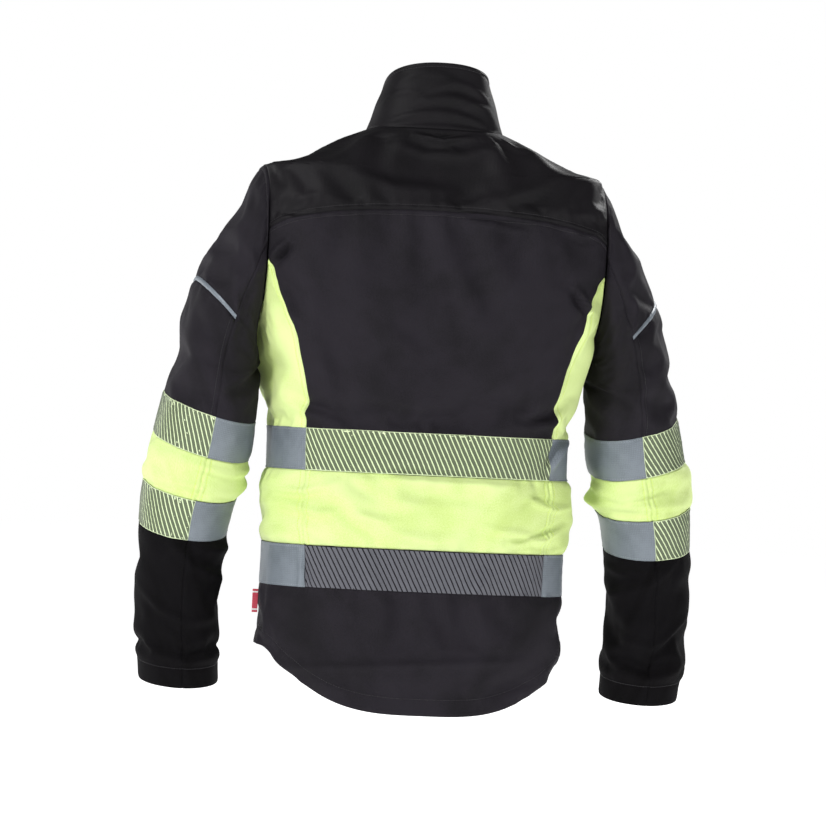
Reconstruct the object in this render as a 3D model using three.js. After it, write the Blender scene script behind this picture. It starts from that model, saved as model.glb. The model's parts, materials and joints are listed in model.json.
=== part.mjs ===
// A hip-length hi-vis work jacket, built as cloth panels, tapes, zips and sleeves.
// Millimetres. +Z is up, the wearer's front faces -Y and the wearer's left is +X.
// The panels are drawn from the neck seam at the centre of the back, then the whole
// jacket is moved so that the top of its hanger loop is the origin.
import * as THREE from 'three';

// ---- cloth and clearances -------------------------------------------------------
const clothThick = 1.6;
const tapeThick = 0.6;
const seamGap = 0.4;
const skinGap = 0.3;
const liningGap = 0.5;
const neckSeamDrop = 0.6;
const collarSeamRise = 1.4;

// ---- body of the jacket: heights below the neck seam -----------------------------
const shoulderDrop = 52;
const armholeDrop = 240;
const armholeX = 205;
const yokeDrop = 100;
const yokeEndDrop = 30;
const sidePanelDrop = 166;
const upperTapeTop = 364;
const lowerTapeTop = 503;
const tapeWidth = 50;
const sideHemDrop = 625;
const tailDrop = 74;

// ---- seams between the back, the sides and the fronts ----------------------------
const princessUpperX = 150;
const princessLowerX = 141;
const princessCurve = 1.6;
const princessStraightDrop = 326;

// ---- neck and collar --------------------------------------------------------------
const neckHalfWidth = 84;
const neckBackDepth = 72;
const neckFrontDrop = 75;
const collarTopHalfWidth = 64;
const collarTopBackDepth = 60;
const collarBackHeight = 80;
const collarFrontTop = 6;
const neckSquareness = 2.8;

// ---- straight centre front, which the main zip runs along -------------------------
const frontDepthAtHem = 121;
const frontLean = 0.05;
const frontShoulderDrop = 112;
const zipHalfGap = 8;
const zipTapeHalf = 11;
const zipChainHalf = 3.2;
const zipMeet = 0.2;
const zipEndInset = 6;
const zipStop = 2;
const zipTapeThick = 0.8;
const chainFace = 0.6;
const chainBack = 3.4;
const zipBoxLength = 10;
const zipBoxWidth = 10;
const zipBoxDepth = 3.6;
const guardHalf = 16;
const guardThick = 1.2;
const guardInset = 14;

// ---- body rings, each at its own height --------------------------------------------
const bodyRings = [
  { drop: shoulderDrop, halfWidth: armholeX, back: 94, square: 3.6 },
  { drop: 95, halfWidth: armholeX + 16, back: 110, square: 3.8 },
  { drop: 160, halfWidth: armholeX + 15, back: 120, square: 3.8 },
  { drop: armholeDrop, halfWidth: armholeX, back: 122, square: 3.4 },
  { drop: 300, halfWidth: 190, back: 120, square: 3.0 },
  { drop: upperTapeTop, halfWidth: 181, back: 116, square: 2.7 },
  { drop: lowerTapeTop, halfWidth: 182, back: 116, square: 2.7 },
  { drop: sideHemDrop, halfWidth: 182, back: 119, square: 2.7 },
  { drop: sideHemDrop + tailDrop, halfWidth: 182, back: 121, square: 2.7 },
];

// ---- sleeve rings: where each lies, its size, and how it leans --------------------
const cuffDrop = 674;
const bicepDrop = 290;
const sleeveRings = [
  { drop: bicepDrop, x: armholeX + 45, y: 0, across: 50, deep: 72, lean: 14, forward: 8 },
  { drop: 369, x: armholeX + 53, y: -4, across: 59, deep: 64, lean: 14, forward: 12 },
  { drop: 419, x: armholeX + 62, y: -9, across: 58, deep: 61, lean: 10, forward: 13 },
  { drop: 467, x: armholeX + 71, y: -15, across: 54, deep: 58, lean: 6, forward: 15 },
  { drop: 560, x: armholeX + 75, y: -27, across: 49, deep: 54, lean: 2, forward: 13 },
  { drop: cuffDrop, x: armholeX + 67, y: -42, across: 48, deep: 51, lean: 0, forward: 11 },
];
// The right arm hangs a little further out than the left, most of all at the cuff.
const rightArmOut = 26;
const pipingDrop = 172;
const pipingWidth = 7;
const sleeveUpperTapeTop = 344;
const sleeveLowerTapeTop = 443;
const sleeveTapeWidth = 48;
const capRise = 300;
const capRun = 230;

// ---- hand pockets, in the seam between each side and each front --------------------
const pocketTop = 430;
const pocketLength = 160;
const pocketZipHalf = 7;
const pocketBagWidth = 112;
const pocketBagTop = 420;
const pocketBagBottom = 596;
const pocketBagThick = 1.2;

// ---- small hardware ----------------------------------------------------------------
const sliderWidth = 9;
const sliderLength = 12;
const sliderPlate = 1.6;
const pullWidth = 6;
const pullLength = 34;
const pullThick = 1.4;
const loopHalfSpan = 27;
const loopRise = 15;
const loopOut = 13;
const loopBand = 7;
const loopThick = 1.2;
const loopSeatRise = 3;
const loopSeatGap = 4.5;
const slidePlay = 0.5;
const sliderRail = 0.9;
const sliderLip = 1;
const pullNeck = 1.6;
const pullTaper = 8;
const pullInset = 2;
const tagHeight = 28;
const tagOut = 7;
const tagGap = 8;

const halfTurn = Math.PI;
const quarterTurn = Math.PI / 2;
const { lerp, degToRad, smoothstep } = THREE.MathUtils;

const finishes = {
  black_softshell: { color: '#2b282c', roughness: 0.85, metalness: 0 },
  yellow_softshell: { color: '#dff389', roughness: 0.8, metalness: 0 },
  reflective_plain: { color: '#858c94', roughness: 0.45, metalness: 0.1 },
  reflective_striped: { color: '#7c8578', roughness: 0.5, metalness: 0.1 },
  black_zip_tape: { color: '#1d1c1f', roughness: 0.8, metalness: 0 },
  zip_metal: { color: '#3b3c3f', roughness: 0.4, metalness: 0.8 },
  red_tag: { color: '#b84452', roughness: 0.7, metalness: 0 },
};

const jacket = new THREE.Group();

function addPiece(name, geometry, finish, parent = jacket) {
  const piece = new THREE.Mesh(geometry, new THREE.MeshStandardMaterial(finishes[finish]));
  piece.name = name;
  parent.add(piece);
  return piece;
}

// A value read off a row of rings at one height, on a smooth curve through the rings.
function ringValue(rings, drop, key) {
  const last = rings.length - 1;
  let i = 0;
  while (i < last - 1 && drop > rings[i + 1].drop) i += 1;
  const slope = (k) => {
    const before = rings[Math.max(k - 1, 0)];
    const after = rings[Math.min(k + 1, last)];
    return (after[key] - before[key]) / (after.drop - before.drop);
  };
  const span = rings[i + 1].drop - rings[i].drop;
  const s = Math.min(Math.max((drop - rings[i].drop) / span, 0), 1);
  const keep = (1 + 2 * s) * (1 - s) * (1 - s) * rings[i][key];
  const reach = s * s * (3 - 2 * s) * rings[i + 1][key];
  const leave = s * (1 - s) * (1 - s) * span * slope(i);
  const arrive = s * s * (s - 1) * span * slope(i + 1);
  return keep + reach + leave + arrive;
}

// Depth of the centre front, a straight line from the hem to the collar's top edge.
function frontY(z) {
  return -(frontDepthAtHem - frontLean * (z + sideHemDrop));
}

// A rounded ring. The turn is 0 at the centre of the back and half a turn at the front.
function ringPoint(turn, halfWidth, back, front, square) {
  const s = Math.sin(turn);
  const c = Math.cos(turn);
  const reach = (Math.abs(s) ** square + Math.abs(c) ** square) ** (-1 / square);
  return { x: halfWidth * s * reach, y: (c > 0 ? back : front) * c * reach };
}

function frontShare(turn) {
  return (1 - Math.cos(turn)) / 2;
}

function neckPoint(turn) {
  const z = -neckFrontDrop * frontShare(turn) ** 3;
  const ring = ringPoint(turn, neckHalfWidth, neckBackDepth, -frontY(-neckFrontDrop), neckSquareness);
  return new THREE.Vector3(ring.x, ring.y, z);
}

function collarPoint(turn, rise) {
  const topZ = lerp(collarBackHeight, collarFrontTop, frontShare(turn) ** 1.2);
  const top = ringPoint(turn, collarTopHalfWidth, collarTopBackDepth, -frontY(collarFrontTop), neckSquareness);
  return neckPoint(turn).lerp(new THREE.Vector3(top.x, top.y, topZ), rise);
}

// A point on the outside of the body, at a turn round it and a drop below the neck seam.
function bodyPoint(turn, drop) {
  const shoulderZ = lerp(shoulderDrop, frontShoulderDrop, smoothstep(frontShare(turn), 0.5, 1));
  const ringAt = (z, ringDrop) => {
    const size = (key) => ringValue(bodyRings, ringDrop, key);
    const ring = ringPoint(turn, size('halfWidth'), size('back'), -frontY(z), size('square'));
    return new THREE.Vector3(ring.x, ring.y, z);
  };
  if (drop < shoulderDrop) {
    return neckPoint(turn).lerp(ringAt(-shoulderZ, shoulderDrop), drop / shoulderDrop);
  }
  const share = Math.min((drop - shoulderDrop) / (armholeDrop - shoulderDrop), 1);
  const z = drop < armholeDrop ? -lerp(shoulderZ, armholeDrop, share) : -drop;
  return ringAt(z, drop);
}

// The turn at which the body reaches a given distance from the centre line.
function turnAtX(drop, x, atFront) {
  let near = atFront ? halfTurn : 0;
  let far = quarterTurn;
  for (let i = 0; i < 40; i += 1) {
    const middle = (near + far) / 2;
    if (Math.abs(bodyPoint(middle, drop).x) < x) near = middle;
    else far = middle;
  }
  return (near + far) / 2;
}

function princessX(drop) {
  if (drop > princessStraightDrop) {
    return lerp(princessUpperX, princessLowerX, (drop - princessStraightDrop) / (sideHemDrop - princessStraightDrop));
  }
  const rise = (princessStraightDrop - drop) / (princessStraightDrop - sidePanelDrop);
  return lerp(princessUpperX, armholeX, rise ** princessCurve);
}

// Edge of the back or front against the armhole, and lower down against the side panel.
function sideTurn(drop, atFront) {
  if (drop <= shoulderDrop) return quarterTurn;
  if (drop <= sidePanelDrop) return turnAtX(drop, armholeX, atFront);
  return turnAtX(drop, princessX(drop), atFront);
}

function hemDrop(turn) {
  if (Math.cos(turn) <= 0) return sideHemDrop;
  const ring = ringPoint(turn, 1, 1, 1, bodyRings[bodyRings.length - 1].square);
  return sideHemDrop + tailDrop * (1 - Math.abs(ring.x) ** 3.2);
}

// A value read along a row of stops, with the same share of the way between each two.
function alongStops(stops, share) {
  const place = Math.min(share * (stops.length - 1), stops.length - 1 - 1e-9);
  const i = Math.floor(place);
  return lerp(stops[i], stops[i + 1], place - i);
}

// A closed shell: a grid of points, a second one under it, and walls round its edges.
// Its thickness is measured away from the middle point that each place lies around.
function shell({ point, middle, across, down, outer, inner, closed = false, keep = (place) => place }) {
  const step = 1e-4;
  const positions = [];
  const columns = closed ? across : across + 1;
  const inside = (value) => Math.min(Math.max(value, 0), 1);
  const around = (value) => (closed ? value : inside(value));
  for (const offset of [outer, inner]) {
    for (let j = 0; j <= down; j += 1) {
      for (let i = 0; i < columns; i += 1) {
        const p = i / across;
        const q = j / down;
        const alongRow = point(around(p + step), q).sub(point(around(p - step), q));
        const alongColumn = point(p, inside(q + step)).sub(point(p, inside(q - step)));
        const normal = alongColumn.cross(alongRow).normalize();
        const place = point(p, q);
        const away = Math.sign(normal.dot(place.clone().sub(middle(p, q))));
        keep(place.addScaledVector(normal, away * offset));
        positions.push(place.x, place.y, place.z);
      }
    }
  }
  const layer = columns * (down + 1);
  const at = (i, j, under) => under * layer + j * columns + (i % columns);
  const faces = [];
  const quad = (a, b, c, d) => faces.push(a, b, c, a, c, d);
  for (let j = 0; j < down; j += 1) {
    for (let i = 0; i < across; i += 1) {
      quad(at(i, j, 0), at(i, j + 1, 0), at(i + 1, j + 1, 0), at(i + 1, j, 0));
      quad(at(i, j, 1), at(i + 1, j, 1), at(i + 1, j + 1, 1), at(i, j + 1, 1));
    }
  }
  for (let i = 0; i < across; i += 1) {
    quad(at(i, 0, 1), at(i, 0, 0), at(i + 1, 0, 0), at(i + 1, 0, 1));
    quad(at(i, down, 0), at(i, down, 1), at(i + 1, down, 1), at(i + 1, down, 0));
  }
  for (let j = 0; j < down && !closed; j += 1) {
    quad(at(0, j, 0), at(0, j, 1), at(0, j + 1, 1), at(0, j + 1, 0));
    quad(at(across, j, 0), at(across, j + 1, 0), at(across, j + 1, 1), at(across, j, 1));
  }
  return outwards(positions, faces);
}

// Builds the geometry with its faces outwards, whichever way round the grid ran.
function outwards(positions, faces) {
  const corner = (k) => new THREE.Vector3().fromArray(positions, 3 * k);
  let volume = 0;
  for (let k = 0; k < faces.length; k += 3) {
    const [a, b, c] = [corner(faces[k]), corner(faces[k + 1]), corner(faces[k + 2])];
    volume += a.dot(b.cross(c));
  }
  const order = volume > 0 ? [0, 1, 2] : [0, 2, 1];
  const index = [];
  for (let k = 0; k < faces.length; k += 3) {
    for (const o of order) index.push(faces[k + o]);
  }
  const geometry = new THREE.BufferGeometry();
  geometry.setAttribute('position', new THREE.Float32BufferAttribute(positions, 3));
  geometry.setIndex(index);
  return geometry;
}

// A patch of the body between its two side edges, in columns that meet its inner seams.
// Each edge gives the turn at a drop. The rows meet every stop along the side edges.
function bodyPatch({ edges, top, bottom, stops, columns = 6, rows = 3, side = 1, outer, inner }) {
  const marks = stops || [top(0), bottom(0)];
  const point = (p, q) => {
    const share = (alongStops(marks, q) - marks[0]) / (marks[marks.length - 1] - marks[0]);
    const drop = lerp(top(p), bottom(p), share);
    const edgeDrop = lerp(top(0), bottom(0), share);
    const turn = alongStops(edges.map((edge) => edge(edgeDrop)), p);
    const place = bodyPoint(turn, drop);
    place.x *= side;
    return place;
  };
  const middle = (p, q) => new THREE.Vector3(0, 0, point(p, q).z - middleDepth);
  const across = columns * (edges.length - 1);
  return shell({ point, middle, across, down: rows * (marks.length - 1), outer, inner });
}

const cloth = { outer: 0, inner: -clothThick };
const tapeSeat = skinGap + 0.1;
const tape = { outer: tapeSeat + tapeThick, inner: tapeSeat };
const level = (drop) => () => drop;

// An edge moved round the body by some millimetres, to leave a seam's gap beside it.
function beside(edge, millimetres) {
  return (drop) => {
    const turn = edge(drop);
    const stride = bodyPoint(turn + 0.01, drop).distanceTo(bodyPoint(turn - 0.01, drop)) / 0.02;
    return turn + millimetres / Math.max(stride, 1);
  };
}

// The middle that the body's cloth lies around is this far below it, for the shoulders.
const middleDepth = 80;
const names = { 1: 'left', [-1]: 'right' };
const halfSeam = seamGap / 2;
const lowerTapeBottom = lowerTapeTop + tapeWidth;
const upperTapeBottom = upperTapeTop + tapeWidth;
const tapeRows = [['upper', upperTapeTop], ['lower', lowerTapeTop]];
const backSeam = (drop) => sideTurn(drop, false);
const frontSeam = (drop) => sideTurn(drop, true);
const centreBack = level(0);
const sideSeam = level(quarterTurn);
const centreFront = (drop) => turnAtX(drop, zipHalfGap, true);
const mirrored = (edge) => (drop) => -edge(drop);

function yokeSeam(p) {
  return yokeDrop + yokeEndDrop * Math.abs(2 * p - 1) ** 3;
}

function backs() {
  const edge = beside(backSeam, -halfSeam);
  const edges = [mirrored(edge), centreBack, edge];
  addPiece('back_yoke', bodyPatch({
    edges, top: level(neckSeamDrop), bottom: (p) => yokeSeam(p) - halfSeam,
    stops: [neckSeamDrop, shoulderDrop, yokeSeam(0) - halfSeam], columns: 10, ...cloth,
  }), 'black_softshell');
  addPiece('back_panel', bodyPatch({
    edges, top: (p) => yokeSeam(p) + halfSeam, bottom: level(upperTapeBottom - halfSeam),
    stops: [yokeSeam(0) + halfSeam, sidePanelDrop, princessStraightDrop, upperTapeTop, upperTapeBottom - halfSeam],
    ...cloth,
  }), 'black_softshell');
  addPiece('back_mid_band', bodyPatch({
    edges, top: level(upperTapeBottom + halfSeam), bottom: level(lowerTapeTop - halfSeam), ...cloth,
  }), 'yellow_softshell');
  const atSide = beside(sideSeam, -halfSeam);
  const sideShare = (p) => lerp(-quarterTurn, quarterTurn, p);
  addPiece('back_hem_panel', bodyPatch({
    edges: [mirrored(atSide), mirrored(edge), centreBack, edge, atSide],
    top: level(lowerTapeTop + halfSeam), bottom: (p) => hemDrop(sideShare(p)),
    stops: [lowerTapeTop + halfSeam, lowerTapeBottom, sideHemDrop], ...cloth,
  }), 'black_softshell');
  for (const [row, top] of tapeRows) {
    addPiece(`back_${row}_tape`, bodyPatch({
      edges, top: level(top), bottom: level(top + tapeWidth), ...tape,
    }), 'reflective_striped');
  }
}

// Under the arm the side panel's top edge follows the lower part of the armhole.
function sidePanel(side) {
  const from = beside(backSeam, halfSeam);
  const to = beside(frontSeam, -halfSeam);
  const bottomDrop = upperTapeBottom - halfSeam;
  const marks = [sidePanelDrop + halfSeam, princessStraightDrop, upperTapeTop, bottomDrop];
  const topDrop = (p) => lerp(sidePanelDrop, armholeDrop, Math.sin(halfTurn * p)) + halfSeam;
  const topTurn = (p) => {
    if (topDrop(p) >= armholeDrop) return quarterTurn;
    return turnAtX(topDrop(p), armholeX, p > 0.5);
  };
  const straight = (p, drop) => lerp(from(drop), to(drop), p);
  const point = (p, q) => {
    const edgeDrop = alongStops(marks, q);
    const share = (edgeDrop - marks[0]) / (bottomDrop - marks[0]);
    const rise = lerp(topTurn(p), straight(p, bottomDrop), share);
    const curve = straight(p, edgeDrop) - lerp(straight(p, marks[0]), straight(p, bottomDrop), share);
    const place = bodyPoint(rise + curve, lerp(topDrop(p), bottomDrop, share));
    place.x *= side;
    return place;
  };
  const middle = (p, q) => new THREE.Vector3(0, 0, point(p, q).z - middleDepth);
  const geometry = shell({ point, middle, across: 12, down: 9, ...cloth });
  addPiece(`side_panel_${names[side]}`, geometry, 'yellow_softshell');
}

function sides(side) {
  sidePanel(side);
  const edges = [beside(backSeam, halfSeam), sideSeam, beside(frontSeam, -halfSeam)];
  for (const [row, top] of tapeRows) {
    addPiece(`side_${row}_tape_${names[side]}`, bodyPatch({
      edges, top: level(top), bottom: level(top + tapeWidth), side, ...tape,
    }), 'reflective_plain');
  }
}

function fronts(side) {
  const label = names[side];
  const edge = beside(frontSeam, halfSeam);
  addPiece(`front_chest_${label}`, bodyPatch({
    edges: [edge, centreFront], top: level(neckSeamDrop), bottom: level(upperTapeBottom - halfSeam),
    stops: [neckSeamDrop, shoulderDrop, sidePanelDrop, princessStraightDrop, upperTapeTop,
      upperTapeBottom - halfSeam],
    side, ...cloth,
  }), 'black_softshell');
  addPiece(`front_mid_band_${label}`, bodyPatch({
    edges: [beside(backSeam, halfSeam), sideSeam, edge, centreFront],
    top: level(upperTapeBottom + halfSeam), bottom: level(lowerTapeTop - halfSeam), side, ...cloth,
  }), 'yellow_softshell');
  addPiece(`front_hem_panel_${label}`, bodyPatch({
    edges: [beside(sideSeam, halfSeam), edge, centreFront],
    top: level(lowerTapeTop + halfSeam), bottom: level(sideHemDrop),
    stops: [lowerTapeTop + halfSeam, lowerTapeBottom, sideHemDrop], side, ...cloth,
  }), 'black_softshell');
  for (const [row, top] of tapeRows) {
    addPiece(`front_${row}_tape_${label}`, bodyPatch({
      edges: [edge, centreFront], top: level(top), bottom: level(top + tapeWidth), side, ...tape,
    }), 'reflective_striped');
  }
}

function collars() {
  const reach = (rise, gap) => halfTurn - (0.01 * gap) / Math.abs(collarPoint(halfTurn - 0.01, rise).x);
  const half = (gap) => (p, q, top, bottom) => {
    const rise = lerp(top, bottom, q);
    return collarPoint(lerp(-reach(rise, gap), reach(rise, gap), p), rise);
  };
  const seamRise = collarSeamRise / collarBackHeight;
  const middle = (p, q) => new THREE.Vector3(0, 0, lerp(collarBackHeight, 0, q) / 2);
  const layer = (gap, top, bottom, outer, inner) => shell({
    point: (p, q) => half(gap)(p, q, top, bottom), middle, across: 32, down: 4, outer, inner,
  });
  const facingOuter = -clothThick - liningGap - skinGap;
  addPiece('collar_outer', layer(zipHalfGap, 1, seamRise, 0, -clothThick), 'black_softshell');
  addPiece('collar_facing', layer(zipTapeHalf + 2, 0.99, 2 * seamRise, facingOuter, facingOuter - 1),
    'black_softshell');
}

// The band of the hanger loop stands out from the facing in a low arch.
function hangerLoop() {
  const seatY = neckBackDepth - clothThick - liningGap - loopSeatGap;
  const points = [];
  for (let i = 0; i <= 12; i += 1) {
    const angle = halfTurn * (i / 12);
    const rise = Math.sin(angle);
    const x = -loopHalfSpan * Math.cos(angle);
    points.push(new THREE.Vector3(x, seatY - loopOut * rise ** 2, loopSeatRise + loopRise * rise));
  }
  const band = new THREE.Shape();
  band.moveTo(-loopThick / 2, -loopBand / 2);
  band.lineTo(loopThick / 2, -loopBand / 2);
  band.lineTo(loopThick / 2, loopBand / 2);
  band.lineTo(-loopThick / 2, loopBand / 2);
  band.closePath();
  const path = new THREE.CatmullRomCurve3(points);
  const geometry = new THREE.ExtrudeGeometry(band, { steps: 20, bevelEnabled: false, extrudePath: path });
  addPiece('hanger_loop', geometry, 'black_zip_tape');
  return new THREE.Vector3(0, seatY - loopOut, loopSeatRise + loopRise - loopThick / 2);
}

function sideTag() {
  const tagDrop = lowerTapeBottom + tagGap;
  const seam = bodyPoint(quarterTurn, tagDrop);
  const geometry = new THREE.BoxGeometry(tagOut, 1, tagHeight);
  const tag = addPiece('side_tag', geometry, 'red_tag');
  tag.position.set(seam.x + skinGap + tagOut / 2, seam.y, -tagDrop - tagHeight / 2);
}

// ---- zips ----------------------------------------------------------------------------
// A group whose local +Z runs up the zip and whose local -Y faces out of the cloth.
function zipFrame(low, high, outward) {
  const up = high.clone().sub(low).normalize();
  const out = outward.clone().addScaledVector(up, -outward.dot(up)).normalize();
  const group = new THREE.Group();
  const back = out.clone().negate();
  group.quaternion.setFromRotationMatrix(new THREE.Matrix4().makeBasis(back.clone().cross(up), back, up));
  group.position.copy(low);
  jacket.add(group);
  return group;
}

function outline(corners) {
  const shape = new THREE.Shape();
  corners.forEach(([x, y], i) => (i ? shape.lineTo(x, y) : shape.moveTo(x, y)));
  shape.closePath();
  return shape;
}

function bar(corners, from, to) {
  const geometry = new THREE.ExtrudeGeometry(outline(corners), { depth: to - from, bevelEnabled: false });
  return geometry.translate(0, 0, from);
}

// The slider is a shallow channel over the chain, with a saddle that the pull hangs on.
function slider(name, group, height, seat) {
  const half = sliderWidth / 2;
  const rail = half - sliderRail;
  const face = seat - sliderPlate;
  const lip = seat + sliderLip;
  const corners = [[-half, face], [half, face], [half, lip], [rail, lip], [rail, seat], [-rail, seat],
    [-rail, lip], [-half, lip]];
  addPiece(name, bar(corners, height - sliderLength, height), 'zip_metal', group);
}

function pull(name, group, height, seat) {
  const face = seat - sliderPlate - skinGap;
  const tab = outline([[-pullNeck, 0], [pullNeck, 0], [pullWidth / 2, -pullTaper], [pullWidth / 2, -pullLength],
    [-pullWidth / 2, -pullLength], [-pullWidth / 2, -pullTaper]]);
  const geometry = new THREE.ExtrudeGeometry(tab, { depth: pullThick, bevelEnabled: false });
  const piece = addPiece(name, geometry, 'zip_metal', group);
  piece.rotation.x = quarterTurn;
  piece.position.set(0, face, height - pullInset);
}

const zipTopZ = collarFrontTop - zipEndInset;
const zipBottomZ = -sideHemDrop + zipEndInset;

function mainZip() {
  const low = new THREE.Vector3(0, frontY(zipBottomZ), zipBottomZ);
  const high = new THREE.Vector3(0, frontY(zipTopZ), zipTopZ);
  const length = high.distanceTo(low);
  const group = zipFrame(low, high, new THREE.Vector3(0, -1, 0));
  const tapeFrom = clothThick + 2 * skinGap;
  const tapeTo = tapeFrom + zipTapeThick;
  for (const side of [1, -1]) {
    const corners = [[zipMeet, chainFace], [zipChainHalf, chainFace], [zipChainHalf, tapeFrom],
      [zipTapeHalf, tapeFrom], [zipTapeHalf, tapeTo], [zipChainHalf, tapeTo], [zipChainHalf, chainBack],
      [zipMeet, chainBack]];
    const mirrored = corners.map(([x, y]) => [x * side, y]);
    const ordered = side > 0 ? mirrored : mirrored.reverse();
    addPiece(`zip_half_${names[side]}`, bar(ordered, zipBoxLength, length), 'black_zip_tape', group);
  }
  const boxHalf = zipBoxWidth / 2;
  const boxCorners = [[-boxHalf, 0], [boxHalf, 0], [boxHalf, zipBoxDepth], [-boxHalf, zipBoxDepth]];
  addPiece('zip_retainer_box', bar(boxCorners, 0, zipBoxLength - seamGap), 'zip_metal', group);
  const guardFace = chainBack + liningGap;
  const guardBack = guardFace + guardThick;
  const guardCorners = [[-guardHalf, guardFace], [guardHalf, guardFace], [guardHalf, guardBack],
    [-guardHalf, guardBack]];
  const guardTop = length - (zipBottomZ + length + neckFrontDrop) - guardInset;
  addPiece('zip_guard', bar(guardCorners, zipStop, guardTop), 'black_softshell', group);
  slider('main_zip_slider', group, length - zipStop, chainFace - skinGap);
  pull('main_zip_pull', group, length - zipStop, chainFace - skinGap);
}

function handPocket(side) {
  const label = names[side];
  const drops = [pocketTop, pocketTop + pocketLength];
  const seat = tape.outer + skinGap;
  const strip = { outer: seat + zipTapeThick, inner: seat };
  addPiece(`hand_pocket_zip_${label}`, bodyPatch({
    edges: [beside(frontSeam, -pocketZipHalf), frontSeam, beside(frontSeam, pocketZipHalf)],
    top: level(drops[0]), bottom: level(drops[1]), columns: 2, rows: 4, side, ...strip,
  }), 'black_zip_tape');
  const bagOuter = -clothThick - 2 * liningGap;
  addPiece(`hand_pocket_bag_${label}`, bodyPatch({
    edges: [frontSeam, beside(frontSeam, pocketBagWidth)],
    top: level(pocketBagTop), bottom: level(pocketBagBottom), columns: 7, rows: 4, side,
    outer: bagOuter, inner: bagOuter - pocketBagThick,
  }), 'black_zip_tape');
  const onSeam = (drop, off) => {
    const turn = frontSeam(drop);
    const here = bodyPoint(turn, drop);
    const alongRing = bodyPoint(turn + 0.01, drop).sub(bodyPoint(turn - 0.01, drop));
    const alongSeam = bodyPoint(turn, drop + 1).sub(bodyPoint(turn, drop - 1));
    const normal = alongSeam.cross(alongRing).normalize();
    normal.multiplyScalar(Math.sign(normal.dot(here)));
    return { place: here.addScaledVector(normal, off), normal };
  };
  const low = onSeam(drops[1], strip.outer);
  const high = onSeam(drops[0], strip.outer);
  for (const vector of [low.place, high.place, low.normal]) vector.x *= side;
  const group = zipFrame(low.place, high.place, low.normal);
  const length = high.place.distanceTo(low.place);
  slider(`hand_pocket_slider_${label}`, group, length, -sliderLip - skinGap - slidePlay);
  pull(`hand_pocket_pull_${label}`, group, length, -sliderLip - skinGap - slidePlay);
}

// ---- sleeves --------------------------------------------------------------------------
function armholePoint(turn) {
  const middle = (shoulderDrop + armholeDrop) / 2;
  const reach = (armholeDrop - shoulderDrop) / 2 - 0.01;
  const drop = middle - reach * Math.cos(turn);
  const point = bodyPoint(turnAtX(drop, armholeX, Math.sin(turn) < 0), drop);
  return point.setX(armholeX + seamGap);
}

function sleeveRing(drop) {
  const read = (key) => ringValue(sleeveRings, drop, key);
  const lean = degToRad(read('lean'));
  const forward = degToRad(read('forward'));
  const outward = new THREE.Vector3(Math.cos(lean), 0, Math.sin(lean));
  const backward = new THREE.Vector3(0, Math.cos(forward), -Math.sin(forward));
  const centre = new THREE.Vector3(read('x'), read('y'), -drop);
  return { centre, outward, backward, across: read('across'), deep: read('deep') };
}

function sleeveRingPoint(turn, drop) {
  const ring = sleeveRing(drop);
  const place = ring.centre.clone();
  place.addScaledVector(ring.outward, ring.across * Math.cos(turn));
  return place.addScaledVector(ring.backward, ring.deep * Math.sin(turn));
}

// The turn is 0 on the outside of the arm and a quarter turn at the back.
function sleevePoint(turn, drop) {
  if (drop >= bicepDrop) return sleeveRingPoint(turn, drop);
  const s = drop / bicepDrop;
  const start = armholePoint(turn);
  const end = sleeveRingPoint(turn, bicepDrop);
  const upward = (1 + Math.cos(turn)) / 2;
  const leave = new THREE.Vector3(lerp(0.15, 0.5, upward), 0.25 * Math.sin(turn), -lerp(0.5, 0.87, upward));
  leave.multiplyScalar(capRise * lerp(0.25, 1, upward));
  const arrive = new THREE.Vector3(0.06, 0, -1).multiplyScalar(capRun * lerp(0.3, 1, upward));
  const point = start.multiplyScalar((1 + 2 * s) * (1 - s) * (1 - s));
  point.addScaledVector(leave, s * (1 - s) * (1 - s));
  point.addScaledVector(end, s * s * (3 - 2 * s));
  return point.addScaledVector(arrive, s * s * (s - 1));
}

// How far the arm on one side hangs out beyond the rings.
function armOut(side, drop) {
  return side < 0 ? rightArmOut * (drop / cuffDrop) ** 1.5 : 0;
}

// The columns run between two turns and the rows meet every stop along the sleeve.
function sleevePatch({ name, side, turns, stops, across = 12, rows = 3, layer, finish }) {
  const closed = turns[1] - turns[0] > 2 * halfTurn - 0.001;
  const drop = (q) => alongStops(stops, q);
  const place = (turn, q) => {
    const spot = sleevePoint(turn, drop(q));
    spot.x = side * (spot.x + armOut(side, drop(q)));
    return spot;
  };
  const point = (p, q) => place(lerp(turns[0], turns[1], p), q);
  const middle = (p, q) => place(0, q).lerp(place(halfTurn, q), 0.5);
  const keep = (spot) => spot.setX(side * Math.max(side * spot.x, clearX(spot)));
  const geometry = shell({ point, middle, across, down: rows * (stops.length - 1), ...layer, closed, keep });
  addPiece(name, geometry, finish);
}

// Nothing of the sleeve above the underarm crosses the plane of the armhole.
function clearX(spot) {
  return spot.z > -armholeDrop ? armholeX + seamGap : 0;
}

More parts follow.
